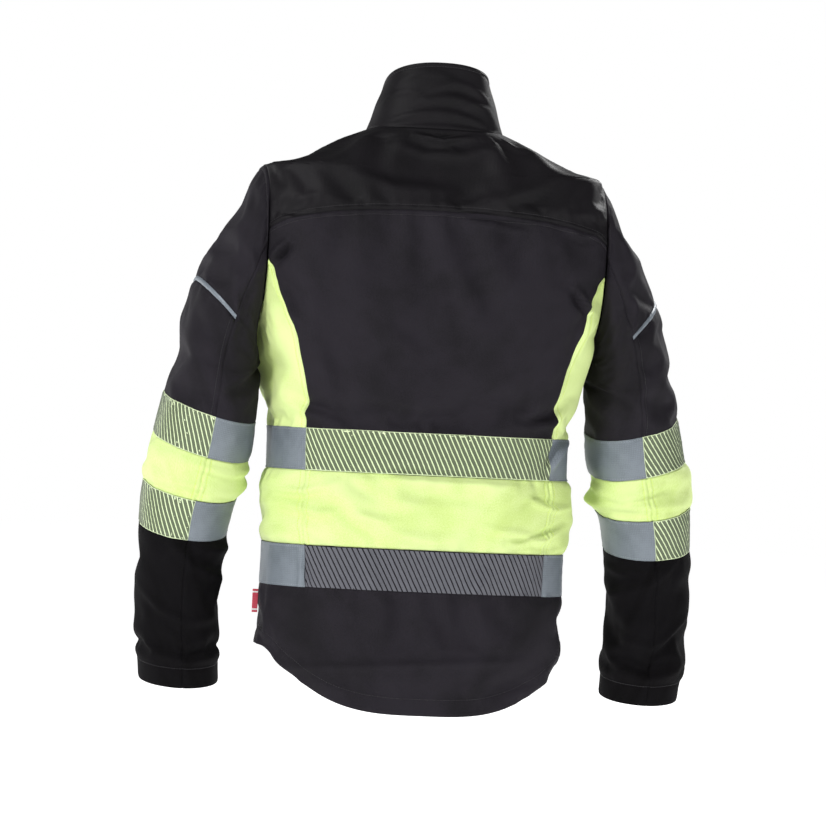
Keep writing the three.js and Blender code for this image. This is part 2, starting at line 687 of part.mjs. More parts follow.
function sleeve(side) {
  const label = names[side];
  const seam = halfSeam / sleeveRings[0].deep;
  const outside = [-quarterTurn + seam, quarterTurn - seam];
  const underside = [quarterTurn + seam, 3 * quarterTurn - seam];
  const allRound = [0, 2 * halfTurn];
  const pipingBottom = pipingDrop + pipingWidth;
  const upperBottom = sleeveUpperTapeTop + sleeveTapeWidth;
  const lowerBottom = sleeveLowerTapeTop + sleeveTapeWidth;
  const black = { side, layer: cloth, finish: 'black_softshell' };
  sleevePatch({ ...black, name: `sleeve_cap_${label}`, turns: outside, stops: [0, pipingDrop - seamGap], rows: 6 });
  sleevePatch({
    name: `sleeve_piping_${label}`, side, turns: outside, stops: [pipingDrop, pipingBottom], rows: 1,
    layer: { outer: 0.8, inner: -clothThick }, finish: 'reflective_plain',
  });
  sleevePatch({
    ...black, name: `sleeve_outer_${label}`, turns: outside,
    stops: [pipingBottom + seamGap, bicepDrop, sleeveUpperTapeTop, upperBottom],
  });
  sleevePatch({
    ...black, name: `sleeve_under_${label}`, turns: underside,
    stops: [0, pipingBottom, bicepDrop, sleeveUpperTapeTop, upperBottom],
  });
  sleevePatch({
    name: `elbow_band_${label}`, side, turns: allRound, across: 24, rows: 2, layer: cloth,
    stops: [upperBottom + seamGap, sleeveLowerTapeTop - seamGap], finish: 'yellow_softshell',
  });
  sleevePatch({
    ...black, name: `lower_sleeve_${label}`, turns: allRound, across: 24,
    stops: [sleeveLowerTapeTop, lowerBottom, cuffDrop],
  });
  for (const [row, top, bottom] of [['upper', sleeveUpperTapeTop, upperBottom],
    ['lower', sleeveLowerTapeTop, lowerBottom]]) {
    const band = { side, stops: [top, bottom], layer: tape };
    sleevePatch({ ...band, name: `sleeve_${row}_tape_outer_${label}`, turns: outside, finish: 'reflective_striped' });
    sleevePatch({ ...band, name: `sleeve_${row}_tape_under_${label}`, turns: underside, finish: 'reflective_plain' });
  }
}

backs();
collars();
sideTag();
mainZip();
for (const side of [1, -1]) {
  sides(side);
  fronts(side);
  handPocket(side);
  sleeve(side);
}
const hangingPoint = hangerLoop();
jacket.position.copy(hangingPoint).negate();

const group = new THREE.Group();
group.add(jacket);
export default group;
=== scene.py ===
# %% [markdown]
# # A hi-vis work jacket
# The jacket is black bonded softshell with fluorescent yellow bands and two rows of reflective tape.
# It is shown closed, as if someone stood in it, and seen from behind. The rigid design comes first and
# gives every place and size; this script makes the cloth, the seams, the stitches and the zips over it.

# %% Load the frame
import json
import math
import bmesh
import bpy
import numpy as np
from mathutils import Matrix, Vector

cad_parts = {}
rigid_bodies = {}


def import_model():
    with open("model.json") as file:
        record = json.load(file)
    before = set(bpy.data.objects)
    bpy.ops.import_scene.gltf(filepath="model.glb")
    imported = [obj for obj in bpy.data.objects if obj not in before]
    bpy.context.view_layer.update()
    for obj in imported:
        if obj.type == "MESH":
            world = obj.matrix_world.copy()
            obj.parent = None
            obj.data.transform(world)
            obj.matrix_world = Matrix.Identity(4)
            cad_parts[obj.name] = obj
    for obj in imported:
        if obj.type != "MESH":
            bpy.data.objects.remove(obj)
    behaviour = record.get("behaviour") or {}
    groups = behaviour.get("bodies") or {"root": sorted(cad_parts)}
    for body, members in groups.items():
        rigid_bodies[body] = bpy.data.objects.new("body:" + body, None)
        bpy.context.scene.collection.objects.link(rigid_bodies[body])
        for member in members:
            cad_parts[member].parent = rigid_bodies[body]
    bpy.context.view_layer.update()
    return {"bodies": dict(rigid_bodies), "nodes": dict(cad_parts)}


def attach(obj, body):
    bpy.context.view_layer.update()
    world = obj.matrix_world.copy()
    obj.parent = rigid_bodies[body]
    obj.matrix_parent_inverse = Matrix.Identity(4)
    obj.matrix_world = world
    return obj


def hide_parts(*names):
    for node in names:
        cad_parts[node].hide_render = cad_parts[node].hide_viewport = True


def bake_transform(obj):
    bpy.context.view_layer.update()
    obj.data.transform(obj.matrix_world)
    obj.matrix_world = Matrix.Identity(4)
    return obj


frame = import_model()
print("nodes in the frame:", len(frame["nodes"]))

# %% [markdown]
# ## The shape that the cloth lies on
# A jacket is cut from flat cloth, but what the eye reads is one rounded body, two sleeves and a collar.
# Each could be sculpted by hand. Here each is a surface with two numbers for a place on it: the turn
# round it and the drop below the neck seam. Panels, tapes and stitches then all share one surface,
# so a fold runs on from a panel into the tape that is sewn across it, as it does in real cloth.

# %% Driving sizes, in millimetres
MM = 0.001
neck_seam = np.array([0.0, -52.4, -17.4])  # its middle at the back, seen from the hanger loop
quarter, half, whole = math.pi / 2, math.pi, 2 * math.pi

shoulder_drop, front_shoulder_drop, armhole_drop, armhole_x = 52.0, 112.0, 240.0, 205.0
yoke_drop, yoke_end_drop, side_panel_drop = 100.0, 30.0, 166.0
upper_tape, lower_tape, tape_width = 364.0, 503.0, 50.0
side_hem, tail_drop = 625.0, 74.0
princess_top_x, princess_low_x, princess_straight = 150.0, 141.0, 326.0
neck_half, neck_back, neck_front_drop, neck_square = 84.0, 72.0, 75.0, 2.8
collar_half, collar_back, collar_height, collar_front = 64.0, 60.0, 80.0, 6.0
hem_depth, front_lean, zip_gap = 121.0, 0.05, 8.0

# drop, half width, depth at the back, squareness
body_rings = np.array([
    (shoulder_drop, 205, 94, 3.6), (95, 221, 110, 3.8), (160, 220, 120, 3.8), (armhole_drop, 205, 122, 3.4),
    (300, 190, 120, 3.0), (upper_tape, 181, 116, 2.7), (lower_tape, 182, 116, 2.7),
    (side_hem, 182, 119, 2.7), (side_hem + tail_drop, 182, 121, 2.7)])

# drop, x, y, half width across, half width front to back, lean outwards and lean forwards in degrees
sleeve_rings = np.array([
    (290, 250, 0, 50, 72, 14, 8), (369, 258, -4, 59, 64, 14, 12), (419, 267, -9, 58, 61, 10, 13),
    (467, 276, -15, 54, 58, 6, 15), (560, 280, -27, 49, 54, 2, 13), (674, 272, -42, 48, 51, 0, 11)])
right_arm_out, arm_radius = 26.0, 55.0  # how far the right cuff hangs out, and the arm's usual radius
bicep_drop, cuff_drop = 290.0, 674.0
piping_drop, piping_width = 172.0, 7.0
sleeve_upper_tape, sleeve_lower_tape, sleeve_tape_width = 344.0, 443.0, 48.0
pocket_top, pocket_bottom, zip_tape_half, bag_width = 430.0, 590.0, 7.0, 110.0
front_radius, side_radius = 150.0, 165.0  # of the body beside a pocket zip, and of its side
upper_end, lower_end = sleeve_upper_tape + sleeve_tape_width, sleeve_lower_tape + sleeve_tape_width


# %% Rings and outlines
def mix(a, b, share):
    return a + (b - a) * share


def smooth(low, high, x):
    s = np.clip((x - low) / (high - low), 0, 1)
    return s * s * (3 - 2 * s)


def ring_value(rings, drop, column):
    """A size read off the rings at a drop, on a smooth curve through them."""
    marks, values = rings[:, 0], rings[:, column].astype(float)
    last = len(marks) - 1
    before, after = np.maximum(np.arange(last + 1) - 1, 0), np.minimum(np.arange(last + 1) + 1, last)
    slopes = (values[after] - values[before]) / (marks[after] - marks[before])
    i = np.clip(np.searchsorted(marks, drop, side="left") - 1, 0, last - 1)
    span = marks[i + 1] - marks[i]
    s = np.clip((drop - marks[i]) / span, 0, 1)
    keep, reach = (1 + 2 * s) * (1 - s) ** 2 * values[i], s * s * (3 - 2 * s) * values[i + 1]
    return keep + reach + span * (s * (1 - s) ** 2 * slopes[i] + s * s * (s - 1) * slopes[i + 1])


def ring_point(turn, half_width, back, front, square):
    s, c = np.sin(turn), np.cos(turn)
    reach = (np.abs(s) ** square + np.abs(c) ** square) ** (-1 / square)
    return half_width * s * reach, np.where(c > 0, back, front) * c * reach


def front_y(z):
    return -(hem_depth - front_lean * (z + side_hem))


def front_share(turn):
    return (1 - np.cos(turn)) / 2


def neck_point(turn):
    x, y = ring_point(turn, neck_half, neck_back, -front_y(-neck_front_drop), neck_square)
    return np.stack([x, y, -neck_front_drop * front_share(turn) ** 3], -1)


def collar_point(turn, rise):
    top_z = mix(collar_height, collar_front, front_share(turn) ** 1.2)
    x, y = ring_point(turn, collar_half, collar_back, -front_y(collar_front), neck_square)
    top, seam = np.stack([x, y, top_z], -1), neck_point(turn)
    return mix(seam, top, rise[..., None])


def body_ring(turn, drop, z):
    size = [ring_value(body_rings, drop, column) for column in (1, 2, 3)]
    x, y = ring_point(turn, size[0], size[1], -front_y(z), size[2])
    return np.stack([x, y, z + 0 * x], -1)


def body_point(turn, drop):
    turn, drop = np.broadcast_arrays(np.asarray(turn, float), np.asarray(drop, float))
    shoulder_z = mix(shoulder_drop, front_shoulder_drop, smooth(0.5, 1, front_share(turn)))
    share = np.clip((drop - shoulder_drop) / (armhole_drop - shoulder_drop), 0, 1)
    z = np.where(drop < armhole_drop, -mix(shoulder_z, armhole_drop, share), -drop)
    low = body_ring(turn, np.maximum(drop, shoulder_drop), z)
    high = mix(neck_point(turn), body_ring(turn, shoulder_drop, -shoulder_z), (drop / shoulder_drop)[..., None])
    return np.where((drop < shoulder_drop)[..., None], high, low)


def turn_at_x(drop, x, front):
    """The turn at which the body is that far from its centre line."""
    drop, x = np.broadcast_arrays(np.asarray(drop, float), np.asarray(x, float))
    near, far = np.full(drop.shape, half if front else 0.0), np.full(drop.shape, quarter)
    for _ in range(36):
        middle = (near + far) / 2
        inside = np.abs(body_point(middle, drop)[..., 0]) < x
        near, far = np.where(inside, middle, near), np.where(inside, far, middle)
    return (near + far) / 2


def princess_x(drop):
    low = mix(princess_top_x, princess_low_x, (drop - princess_straight) / (side_hem - princess_straight))
    rise = np.clip((princess_straight - drop) / (princess_straight - side_panel_drop), 0, 1)
    return np.where(drop > princess_straight, low, mix(princess_top_x, armhole_x, rise ** 1.6))


def side_turn(drop, front):
    """Where the back or the front meets the shoulder, then the armhole, then the side panel."""
    drop = np.asarray(drop, float)
    at_armhole = turn_at_x(drop, armhole_x, front)
    turn = np.where(drop <= side_panel_drop, at_armhole, turn_at_x(drop, princess_x(drop), front))
    return np.where(drop <= shoulder_drop, quarter, turn)


def hem_drop(turn):
    x, _ = ring_point(turn, 1, 1, 1, body_rings[-1, 3])
    return np.where(np.cos(turn) <= 0, side_hem, side_hem + tail_drop * (1 - np.abs(x) ** 3.2))


# %% The sleeve, the left one; the right one is its mirror image
def armhole_point(turn):
    middle, reach = (shoulder_drop + armhole_drop) / 2, (armhole_drop - shoulder_drop) / 2 - 0.01
    drop = middle - reach * np.cos(turn)
    at = np.where(np.sin(turn) < 0, turn_at_x(drop, armhole_x, True), turn_at_x(drop, armhole_x, False))
    point = body_point(at, drop)
    point[..., 0] = armhole_x + 0.4
    return point


def sleeve_ring(turn, drop):
    x, y, across, deep, lean, forward = [ring_value(sleeve_rings, drop, k) for k in range(1, 7)]
    lean, forward = np.radians(lean), np.radians(forward)
    c, s = across * np.cos(turn), deep * np.sin(turn)
    return np.stack([x + c * np.cos(lean), y + s * np.cos(forward),
                     -drop + c * np.sin(lean) - s * np.sin(forward)], -1)


def sleeve_point(turn, drop):
    turn, drop = np.broadcast_arrays(np.asarray(turn, float), np.asarray(drop, float))
    s = np.clip(drop / bicep_drop, 0, 1)[..., None]
    up = (1 + np.cos(turn)) / 2
    leave = np.stack([mix(0.15, 0.5, up), 0.25 * np.sin(turn), -mix(0.5, 0.87, up)], -1)
    leave *= (300 * mix(0.25, 1, up))[..., None]
    arrive = np.array([0.06, 0, -1]) * (230 * mix(0.3, 1, up))[..., None]
    cap = (1 + 2 * s) * (1 - s) ** 2 * armhole_point(turn) + s * (1 - s) ** 2 * leave
    cap += s * s * (3 - 2 * s) * sleeve_ring(turn, np.full(turn.shape, bicep_drop)) + s * s * (s - 1) * arrive
    return np.where((drop >= bicep_drop)[..., None], sleeve_ring(turn, np.maximum(drop, bicep_drop)), cap)


# %% [markdown]
# ## Folds
# Folds could come from a cloth simulation alone, but then they fall where they like. The jacket's large
# folds are known: rings of slack round the waist, creases that run out from under the arms, bunching at
# the elbows and arches in the collar. Each is drawn as a line on the surface with a rounded ridge and a
# hollow beside it, and small slow waves are added so that no panel is perfectly even.

# %% Waves and folds
def between(us, vs, grid, u, v):
    """A value of a grid between its points."""
    i = np.clip(np.interp(u, us, np.arange(len(us))), 0, len(us) - 1.000001)
    j = np.clip(np.interp(v, vs, np.arange(len(vs))), 0, len(vs) - 1.000001)
    i0, j0 = i.astype(int), j.astype(int)
    a, b = i - i0, j - j0
    if grid.ndim == 3:
        a, b = a[..., None], b[..., None]
    top = mix(grid[i0, j0], grid[i0 + 1, j0], a)
    return mix(top, mix(grid[i0, j0 + 1], grid[i0 + 1, j0 + 1], a), b)


def waves(seed, across, down, width, height):
    """Smooth random waves over a surface, about one unit high, width by height millimetres each."""
    random = np.random.default_rng(seed)
    total = np.zeros(across.shape)
    for _ in range(14):
        angle, phase = random.uniform(0, half), random.uniform(0, whole)
        stretch = random.uniform(0.7, 1.5)
        total += np.sin(whole * (across * math.cos(angle) / width + down * math.sin(angle) / height) * stretch
                        + phase)
    return total / math.sqrt(14 / 2) / 2


def fold(across, down, path, width, height, side=0.5):
    """A ridge along a path of (across, down) points, fading at its ends, with a hollow on one side."""
    path = np.array(path, float)
    best, where, signed = np.full(across.shape, 1e9), np.zeros(across.shape), np.zeros(across.shape)
    steps = np.linalg.norm(np.diff(path, axis=0), axis=1)
    starts, length = np.concatenate([[0], np.cumsum(steps)[:-1]]), steps.sum()
    for a, b, start, step in zip(path[:-1], path[1:], starts, steps):
        way = (b - a) / step
        dx, dy = across - a[0], down - a[1]
        t = np.clip(dx * way[0] + dy * way[1], 0, step)
        ox, oy = dx - t * way[0], dy - t * way[1]
        distance = np.hypot(ox, oy)
        closer = distance < best
        best = np.where(closer, distance, best)
        where = np.where(closer, start + t, where)
        signed = np.where(closer, np.sign(ox * way[1] - oy * way[0]) * distance, signed)
    fade = np.sin(half * np.clip(where / length, 0.04, 0.96)) ** 0.8
    ridge = np.exp(-((signed / width) ** 2))
    hollow = np.exp(-(((signed - 1.7 * width * np.sign(side)) / (1.1 * width)) ** 2))
    return height * fade * (ridge - abs(side) * hollow)


class Surface:
    """A grid of places with their outward direction, bent by folds, that pieces are drawn on."""

    def __init__(self, point, us, vs, inside):
        self.us, self.vs = us, vs
        u, v = np.meshgrid(us, vs, indexing="ij")
        self.base = point(u, v)
        self.lift = np.zeros(u.shape)
        self.shift = np.zeros(self.base.shape)
        along_u, along_v = np.gradient(self.base, axis=0), np.gradient(self.base, axis=1)
        self.across = self.run(along_u, 0)
        self.across -= self.across[np.argmin(np.abs(us))]
        self.down = self.run(along_v, 1)
        normal = np.cross(along_v, along_u)
        normal /= np.maximum(np.linalg.norm(normal, axis=-1, keepdims=True), 1e-9)
        self.normal = normal * np.sign((normal * (self.base - inside(self.base))).sum(-1, keepdims=True))
        self.u, self.v = u, v

    def run(self, along, axis):
        step = np.linalg.norm(along, axis=-1)
        return np.cumsum(step, axis) - np.take(step, [0], axis)

    def settle(self):
        """Fixes the folded surface: its places, and its outward directions after the folds."""
        self.place = self.base + self.normal * self.lift[..., None] + self.shift
        normal = np.cross(np.gradient(self.place, axis=1), np.gradient(self.place, axis=0))
        normal /= np.maximum(np.linalg.norm(normal, axis=-1, keepdims=True), 1e-9)
        self.out = normal * np.sign((normal * self.normal).sum(-1, keepdims=True))

    def read(self, grid, u, v):
        return between(self.us, self.vs, grid, u, v)

    def at(self, u, v, lift=0.0):
        """Places on the folded surface, lifted off it by some millimetres."""
        out = self.read(self.out, u, v)
        out /= np.linalg.norm(out, axis=-1, keepdims=True)
        return self.read(self.place, u, v) + out * np.asarray(lift + 0 * u)[..., None]

    def cloth_uv(self, u, v):
        return self.read(self.across, u, v), self.read(self.down, u, v)


def above_waist(place):
    return place * [0, 0, 1] - [0, 0, 80]


body = Surface(body_point, np.linspace(-half, half, 561), np.linspace(0, side_hem + tail_drop, 301), above_waist)
print("round the waist:", round(float(np.ptp(body.across[:, 160])) / 10), "cm")


def round_the_arm(place):
    return place.mean(axis=0, keepdims=True)


def round_the_neck(place):
    return place * [0, 0, 1]


def sleeve_surface(side):
    def point(turn, drop):
        place = sleeve_point(turn, drop)
        high = place[..., 2] > -armhole_drop
        if side < 0:
            place[..., 0] += right_arm_out * (drop / cuff_drop) ** 1.5
        place[..., 0] = np.where(high, np.maximum(place[..., 0], armhole_x + 0.4), place[..., 0])
        return place * [side, 1, 1]
    return Surface(point, np.linspace(-quarter, 3 * quarter, 301), np.linspace(0, cuff_drop, 270), round_the_arm)


collar = Surface(lambda turn, fall: collar_point(turn, 1 - fall),
                 np.linspace(-half, half, 401), np.linspace(0, 1, 61), round_the_neck)
sleeves = {"left": sleeve_surface(1), "right": sleeve_surface(-1)}
print("round the upper arm:", round(float(np.ptp(sleeves["left"].across[:, 120])) / 10), "cm")

# %% Folds of the body
x, z, drop = body.base[..., 0], body.base[..., 2], body.v
at_back = smooth(-0.15, 0.3, np.cos(body.u))
at_front = 1 - at_back


def band(v, top, bottom, soft=8):
    return smooth(top - soft, top + soft, v) * (1 - smooth(bottom - soft, bottom + soft, v))


taped = band(drop, upper_tape, upper_tape + tape_width) + band(drop, lower_tape, lower_tape + tape_width)
soft = 1 - 0.7 * taped
slack = smooth(60, 200, drop)
body.lift += waves(3, body.across, body.down, 150, 210) * 2.2 * soft * slack
body.lift += waves(8, body.across, body.down, 55, 80) * 0.8 * soft * mix(0.5, 1, slack)
body.lift += 2.4 * band(drop, upper_tape + tape_width + 8, lower_tape - 8, 14)
body.lift += waves(12, body.across, body.down, 220, 30) * 2.2 * band(drop, 418, 500, 10)
body.lift += waves(14, body.across + 0.8 * body.down, body.down, 70, 46) * 1.0 * soft * slack

back_folds = [
    # path of (x, z), width, height, side of the hollow
    ([(106, -424), (40, -420), (-40, -421), (-119, -424)], 7, 2.8, 0.7),
    ([(-61, -474), (-105, -478), (-150, -488)], 6, 2.6, -0.7),
    ([(140, -470), (80, -466), (20, -472)], 8, 1.8, 0.6),
    ([(60, -448), (0, -446), (-60, -450)], 9, 1.4, 0.5),
    ([(182, -142), (192, -154), (205, -170)], 5, 5.0, 0.9),
    ([(196, -190), (178, -214), (168, -246)], 9, 3.4, 0.6),
    ([(-160, -180), (-170, -192), (-186, -208)], 5, 5.0, -0.9),
    ([(-196, -206), (-176, -236), (-166, -270)], 9, 3.4, -0.6),
    ([(195, -116), (176, -118), (150, -112)], 4, 2.0, 0.6),
    ([(-190, -120), (-170, -122), (-150, -114)], 4, 2.2, 0.6),
    ([(150, -250), (128, -300), (118, -352)], 12, 2.2, 0.5),
    ([(-148, -262), (-126, -306), (-118, -352)], 12, 2.4, -0.5),
    ([(176, -650), (90, -644), (-20, -636), (-120, -630)], 6, 1.8, 0.6),
    ([(70, -520), (52, -570), (58, -626)], 16, 2.2, 0.4),
    ([(-74, -516), (-60, -566), (-70, -620)], 16, 2.4, -0.4),
    ([(36, -8), (0, -15), (-40, -7)], 4, 3.6, 0.9),
    ([(-10, -108), (-60, -112), (-118, -122)], 5, 2.0, 0.8),
    ([(120, -432), (150, -440), (176, -438)], 5, 3.0, 0.7),
    ([(-118, -436), (-148, -448), (-172, -446)], 5, 3.2, 0.7),
    ([(-100, -492), (-136, -486), (-166, -470)], 5, 3.4, 0.8),
    ([(90, -456), (130, -464), (168, -456)], 6, 2.6, 0.6),
    ([(150, -512), (146, -540), (150, -566)], 5, 1.6, 0.7),
    ([(-148, -402), (-160, -380), (-176, -360)], 6, 3.6, 0.7),
    ([(168, -330), (150, -346), (120, -352)], 7, 2.6, 0.6),
    ([(-168, -320), (-146, -344), (-110, -352)], 7, 2.6, -0.6),
    ([(62, -22), (20, -30), (-22, -30), (-66, -20)], 7, 1.8, 0.6),
    ([(120, -60), (60, -74), (-10, -76)], 12, 1.6, 0.4),
    ([(-120, -64), (-70, -82), (-30, -88)], 10, 1.5, 0.4),
]
front_folds = [
    ([(188, -180), (160, -214), (140, -262)], 9, 3.6, 0.6),
    ([(-188, -176), (-158, -216), (-138, -268)], 9, 3.6, -0.6),
    ([(150, -330), (100, -346), (50, -340)], 9, 1.8, 0.6),
    ([(-150, -326), (-96, -344), (-46, -338)], 9, 1.8, 0.6),
    ([(150, -432), (90, -424), (30, -428)], 7, 2.4, 0.7),
    ([(-140, -446), (-90, -438), (-30, -444)], 7, 2.4, 0.7),
    ([(130, -478), (80, -484), (24, -480)], 7, 1.8, 0.6),
    ([(120, -540), (90, -580), (86, -616)], 12, 1.8, 0.4),
    ([(-120, -536), (-92, -580), (-88, -616)], 12, 1.8, -0.4),
]
fold_rise, arm_fold_rise, fold_spread = 1.9, 1.6, 0.75
for paths, where in ((back_folds, at_back), (front_folds, at_front)):
    for path, width, height, side in paths:
        body.lift += fold_rise * fold(x, z, path, fold_spread * width, height, side) * where
# sewn tapes and seams gather the cloth beside them into small puckers
for seam_drop in (upper_tape, upper_tape + tape_width, lower_tape, lower_tape + tape_width):
    pucker = np.sin(body.across / 5.2 + 2.2 * waves(int(seam_drop), body.across, body.down, 90, 200))
    body.lift += 0.55 * pucker * np.exp(-((drop - seam_drop) / 11) ** 2) * (1 - 0.6 * taped)
yoke_line = yoke_drop + yoke_end_drop * np.abs(body.u / quarter) ** 3
body.lift += 1.6 * np.exp(-((drop - yoke_line + 7) / 7) ** 2) * at_back
# the left corner of the hem stands out a little, as it does once a hand has been in the pocket
body.lift += 13 * smooth(592, 662, drop) * np.exp(-((body.u - quarter) / 0.42) ** 2)
body.lift *= smooth(0, 9, np.abs(np.abs(body.u) - half) * 90) * smooth(0, 14, drop)
near_armhole = np.exp(-((np.abs(x) - armhole_x) / 3.0) ** 2) * (drop < armhole_drop + 4) * (drop > shoulder_drop)
body.lift *= 1 - near_armhole
body.settle()
print("highest fold on the body:", round(float(body.lift.max()), 1), "mm")

# %% Folds of the sleeves and the collar
for name, sleeve in sleeves.items():
    side = 1 if name == "left" else -1
    v, turn = sleeve.v, sleeve.u
    held = band(v, sleeve_upper_tape, sleeve_upper_tape + sleeve_tape_width, 6)
    held += band(v, sleeve_lower_tape, sleeve_lower_tape + sleeve_tape_width, 6)
    held += band(v, piping_drop - 2, piping_drop + 10, 5) + smooth(cuff_drop - 30, cuff_drop - 14, v)
    yielding = (1 - 0.7 * np.clip(held, 0, 1)) * smooth(6, 50, v)
    around = turn * arm_radius
    seed = 20 if side > 0 else 40
    sleeve.lift += waves(seed, around, v, 110, 120) * 1.4 * yielding
    sleeve.lift += waves(seed + 1, around, v, 150, 38) * 1.5 * yielding * band(v, 392, 443, 8)
    sleeve.lift += waves(seed + 4, around + 0.7 * v, v, 90, 60) * 1.1 * yielding * smooth(40, 120, v)
    sleeve.lift += waves(seed + 2, around, v, 130, 46) * 1.5 * yielding * band(v, 492, 640, 16)
    sleeve.lift += waves(seed + 3, around, v, 40, 46) * 0.7 * yielding
    sleeve.lift += 2.2 * band(v, 398, 438, 12)
    shift = 0 if side > 0 else 9
    for path, width, height, hollow in [
            ([(40, 470 + shift), (96, 520), (170, 548)], 9, 3.0, 0.6),
            ([(20, 560), (90, 590 + shift), (150, 586)], 9, 2.6, -0.6),
            ([(60, 500), (120, 500 + shift), (190, 512)], 8, 2.2, 0.6),
            ([(30, 628), (90, 640), (150, 634 - shift)], 8, 2.2, 0.6),
            ([(150, 250), (120, 285), (84, 310)], 10, 3.0, 0.6),
            ([(190, 262), (150, 300), (110, 330)], 8, 2.6, -0.6),
            ([(60, 110 + shift), (84, 160), (90, 220)], 11, 2.4, 0.5),
            ([(-40, 240), (-70, 290), (-60, 336)], 11, 2.2, 0.5),
            ([(170, 400), (120, 406 + shift), (60, 402)], 6, 2.2, 0.6),
            ([(150, 432 - shift), (100, 426), (40, 430)], 6, 2.0, 0.6),
            ([(200, 466), (230, 500), (236, 540)], 8, 3.0, 0.6),
            ([(210, 380), (240, 420), (246, 470)], 8, 2.4, 0.6)]:
        ridge = fold(around, v, path, fold_spread * width, height, hollow)
        sleeve.lift += arm_fold_rise * ridge * yielding
    sleeve.lift += 2.0 * np.exp(-((v - (cuff_drop - 34)) / 9) ** 2)
    # slack cloth folds over inside the elbow, between the tapes
    sleeve.lift += fold(around, v, [(140, 428), (176, 424), (214, 430)], 9, 8.0 if side < 0 else 5.0, 0.4)
    sleeve.lift += fold(around, v, [(128, 408), (160, 404), (196, 410)], 6, 3.5, 0.6)
    first, last = sleeve.lift[0].copy(), sleeve.lift[-1].copy()
    share = smooth(-quarter, -quarter + 0.7, turn)
    share *= 1 - smooth(3 * quarter - 0.7, 3 * quarter, turn)
    sleeve.lift = mix(mix(first, last, 0.5)[None, :], sleeve.lift, share)
    sleeve.lift *= smooth(0, 10, v)
    high = sleeve.base[..., 2] > -armhole_drop - 20
    room = np.abs(sleeve.base[..., 0]) - armhole_x - 0.6
    beside_body = high & (sleeve.normal[..., 0] * side < 0)
    sleeve.lift = np.where(beside_body, np.minimum(sleeve.lift, room * 0.8), sleeve.lift)
    sleeve.settle()

arch = collar.v
collar_folds = [
    # how far down at the middle, how much it bows, where its middle is, half length, height, width
    (0.30, 0.34, -16, 40, 2.4, 0.045), (0.42, 0.38, -12, 46, -2.0, 0.05), (0.53, 0.40, -8, 52, 2.6, 0.05),
    (0.66, 0.36, 4, 56, -2.2, 0.05), (0.76, 0.30, 8, 60, 2.6, 0.05), (0.90, 0.14, 0, 64, -2.2, 0.05),
    (0.16, 0.20, 22, 34, 1.6, 0.05), (0.58, 0.30, -44, 26, 2.0, 0.045), (0.44, 0.26, 48, 28, 1.8, 0.045)]
for at, bend, middle, reach, height, width in collar_folds:
    off = (collar.across - middle) / reach
    ends = np.exp(-np.abs(off) ** 3)
    collar.lift += height * ends * np.exp(-((arch - at - bend * off ** 2 * 0.5) / width) ** 2)
collar.lift += waves(31, collar.across, arch * 80, 90, 60) * 0.9
collar.lift *= smooth(0, 0.05, collar.v) * (1 - smooth(0.96, 1, collar.v))
collar.lift *= smooth(0, 12, (half - np.abs(collar.u)) * 70)
collar.settle()
print("folds drawn on the body, the sleeves and the collar")

# %% [markdown]
# ## Letting the cloth settle
# The drawn folds are the large ones. The small ones come from cloth that has a little more length than
# the room it is sewn into, so the body and the sleeves are now run as real cloth for a few frames: the
# cloth grows by three or four per cent, is held where seams and tapes hold it, and buckles in between.
# It is simulated ten times too large, where the solver is steadier. Only the movement in and out is kept.

# %% A short cloth simulation of a whole surface
oversize, hold_levels, settle_frames = 10, 20, 22


def let_settle(surface, columns, rows, hold, growth, cap):
    """Adds to the surface's lift what the cloth does; hold gives 0 for free and 1 for sewn down."""
    scale = oversize * MM
    u, v = np.meshgrid(np.linspace(surface.us[0], surface.us[-1], columns),
                       np.linspace(surface.vs[0], surface.vs[-1], rows), indexing="ij")
    start = surface.read(surface.place, u, v)
    out = surface.read(surface.out, u, v)
    weight = np.clip(hold(u, v, surface), 0.0, 1.0)
    i, j = np.meshgrid(np.arange(columns - 1), np.arange(rows - 1), indexing="ij")
    corner = (i * rows + j).ravel()
    faces = np.stack([corner, corner + rows, corner + rows + 1, corner + 1], 1)
    mesh = bpy.data.meshes.new("settling_cloth")
    mesh.from_pydata((start.reshape(-1, 3) * scale).tolist(), [], faces.tolist())
    cloth_object = bpy.data.objects.new("settling_cloth", mesh)
    bpy.context.scene.collection.objects.link(cloth_object)
    held = cloth_object.vertex_groups.new(name="held")
    for level in range(1, hold_levels + 1):
        near = np.nonzero(np.round(weight.ravel() * hold_levels) == level)[0]
        if len(near):
            held.add(near.tolist(), level / hold_levels, "REPLACE")
    cloth = cloth_object.modifiers.new("cloth", "CLOTH")
    settings = cloth.settings
    settings.quality, settings.mass, settings.air_damping = 5, 0.3, 2.0
    settings.tension_stiffness = settings.compression_stiffness = 20
    settings.shear_stiffness, settings.bending_stiffness = 6, 2.0
    settings.vertex_group_mass, settings.pin_stiffness = "held", 1.0
    settings.shrink_min = -growth
    settings.effector_weights.gravity = 0.15
    cloth.point_cache.frame_start, cloth.point_cache.frame_end = 1, settle_frames
    scene = bpy.context.scene
    for frame_number in range(1, settle_frames + 1):
        scene.frame_set(frame_number)
    settled = cloth_object.evaluated_get(bpy.context.evaluated_depsgraph_get())
    spots = np.empty(len(settled.data.vertices) * 3)
    settled.data.vertices.foreach_get("co", spots)
    moved = (spots.reshape(columns, rows, 3) / scale - start)
    lift = (moved * out).sum(-1)
    lift = cap * np.tanh(lift / cap) * (1 - weight ** 3)
    bpy.data.objects.remove(cloth_object)
    scene.frame_set(1)
    surface.lift += between(u[:, 0], v[0], lift, surface.u, surface.v)
    surface.settle()
    print("settled:", round(float(np.abs(lift).max()), 1), "mm at most,", round(float(lift.std()), 2), "mm typical")


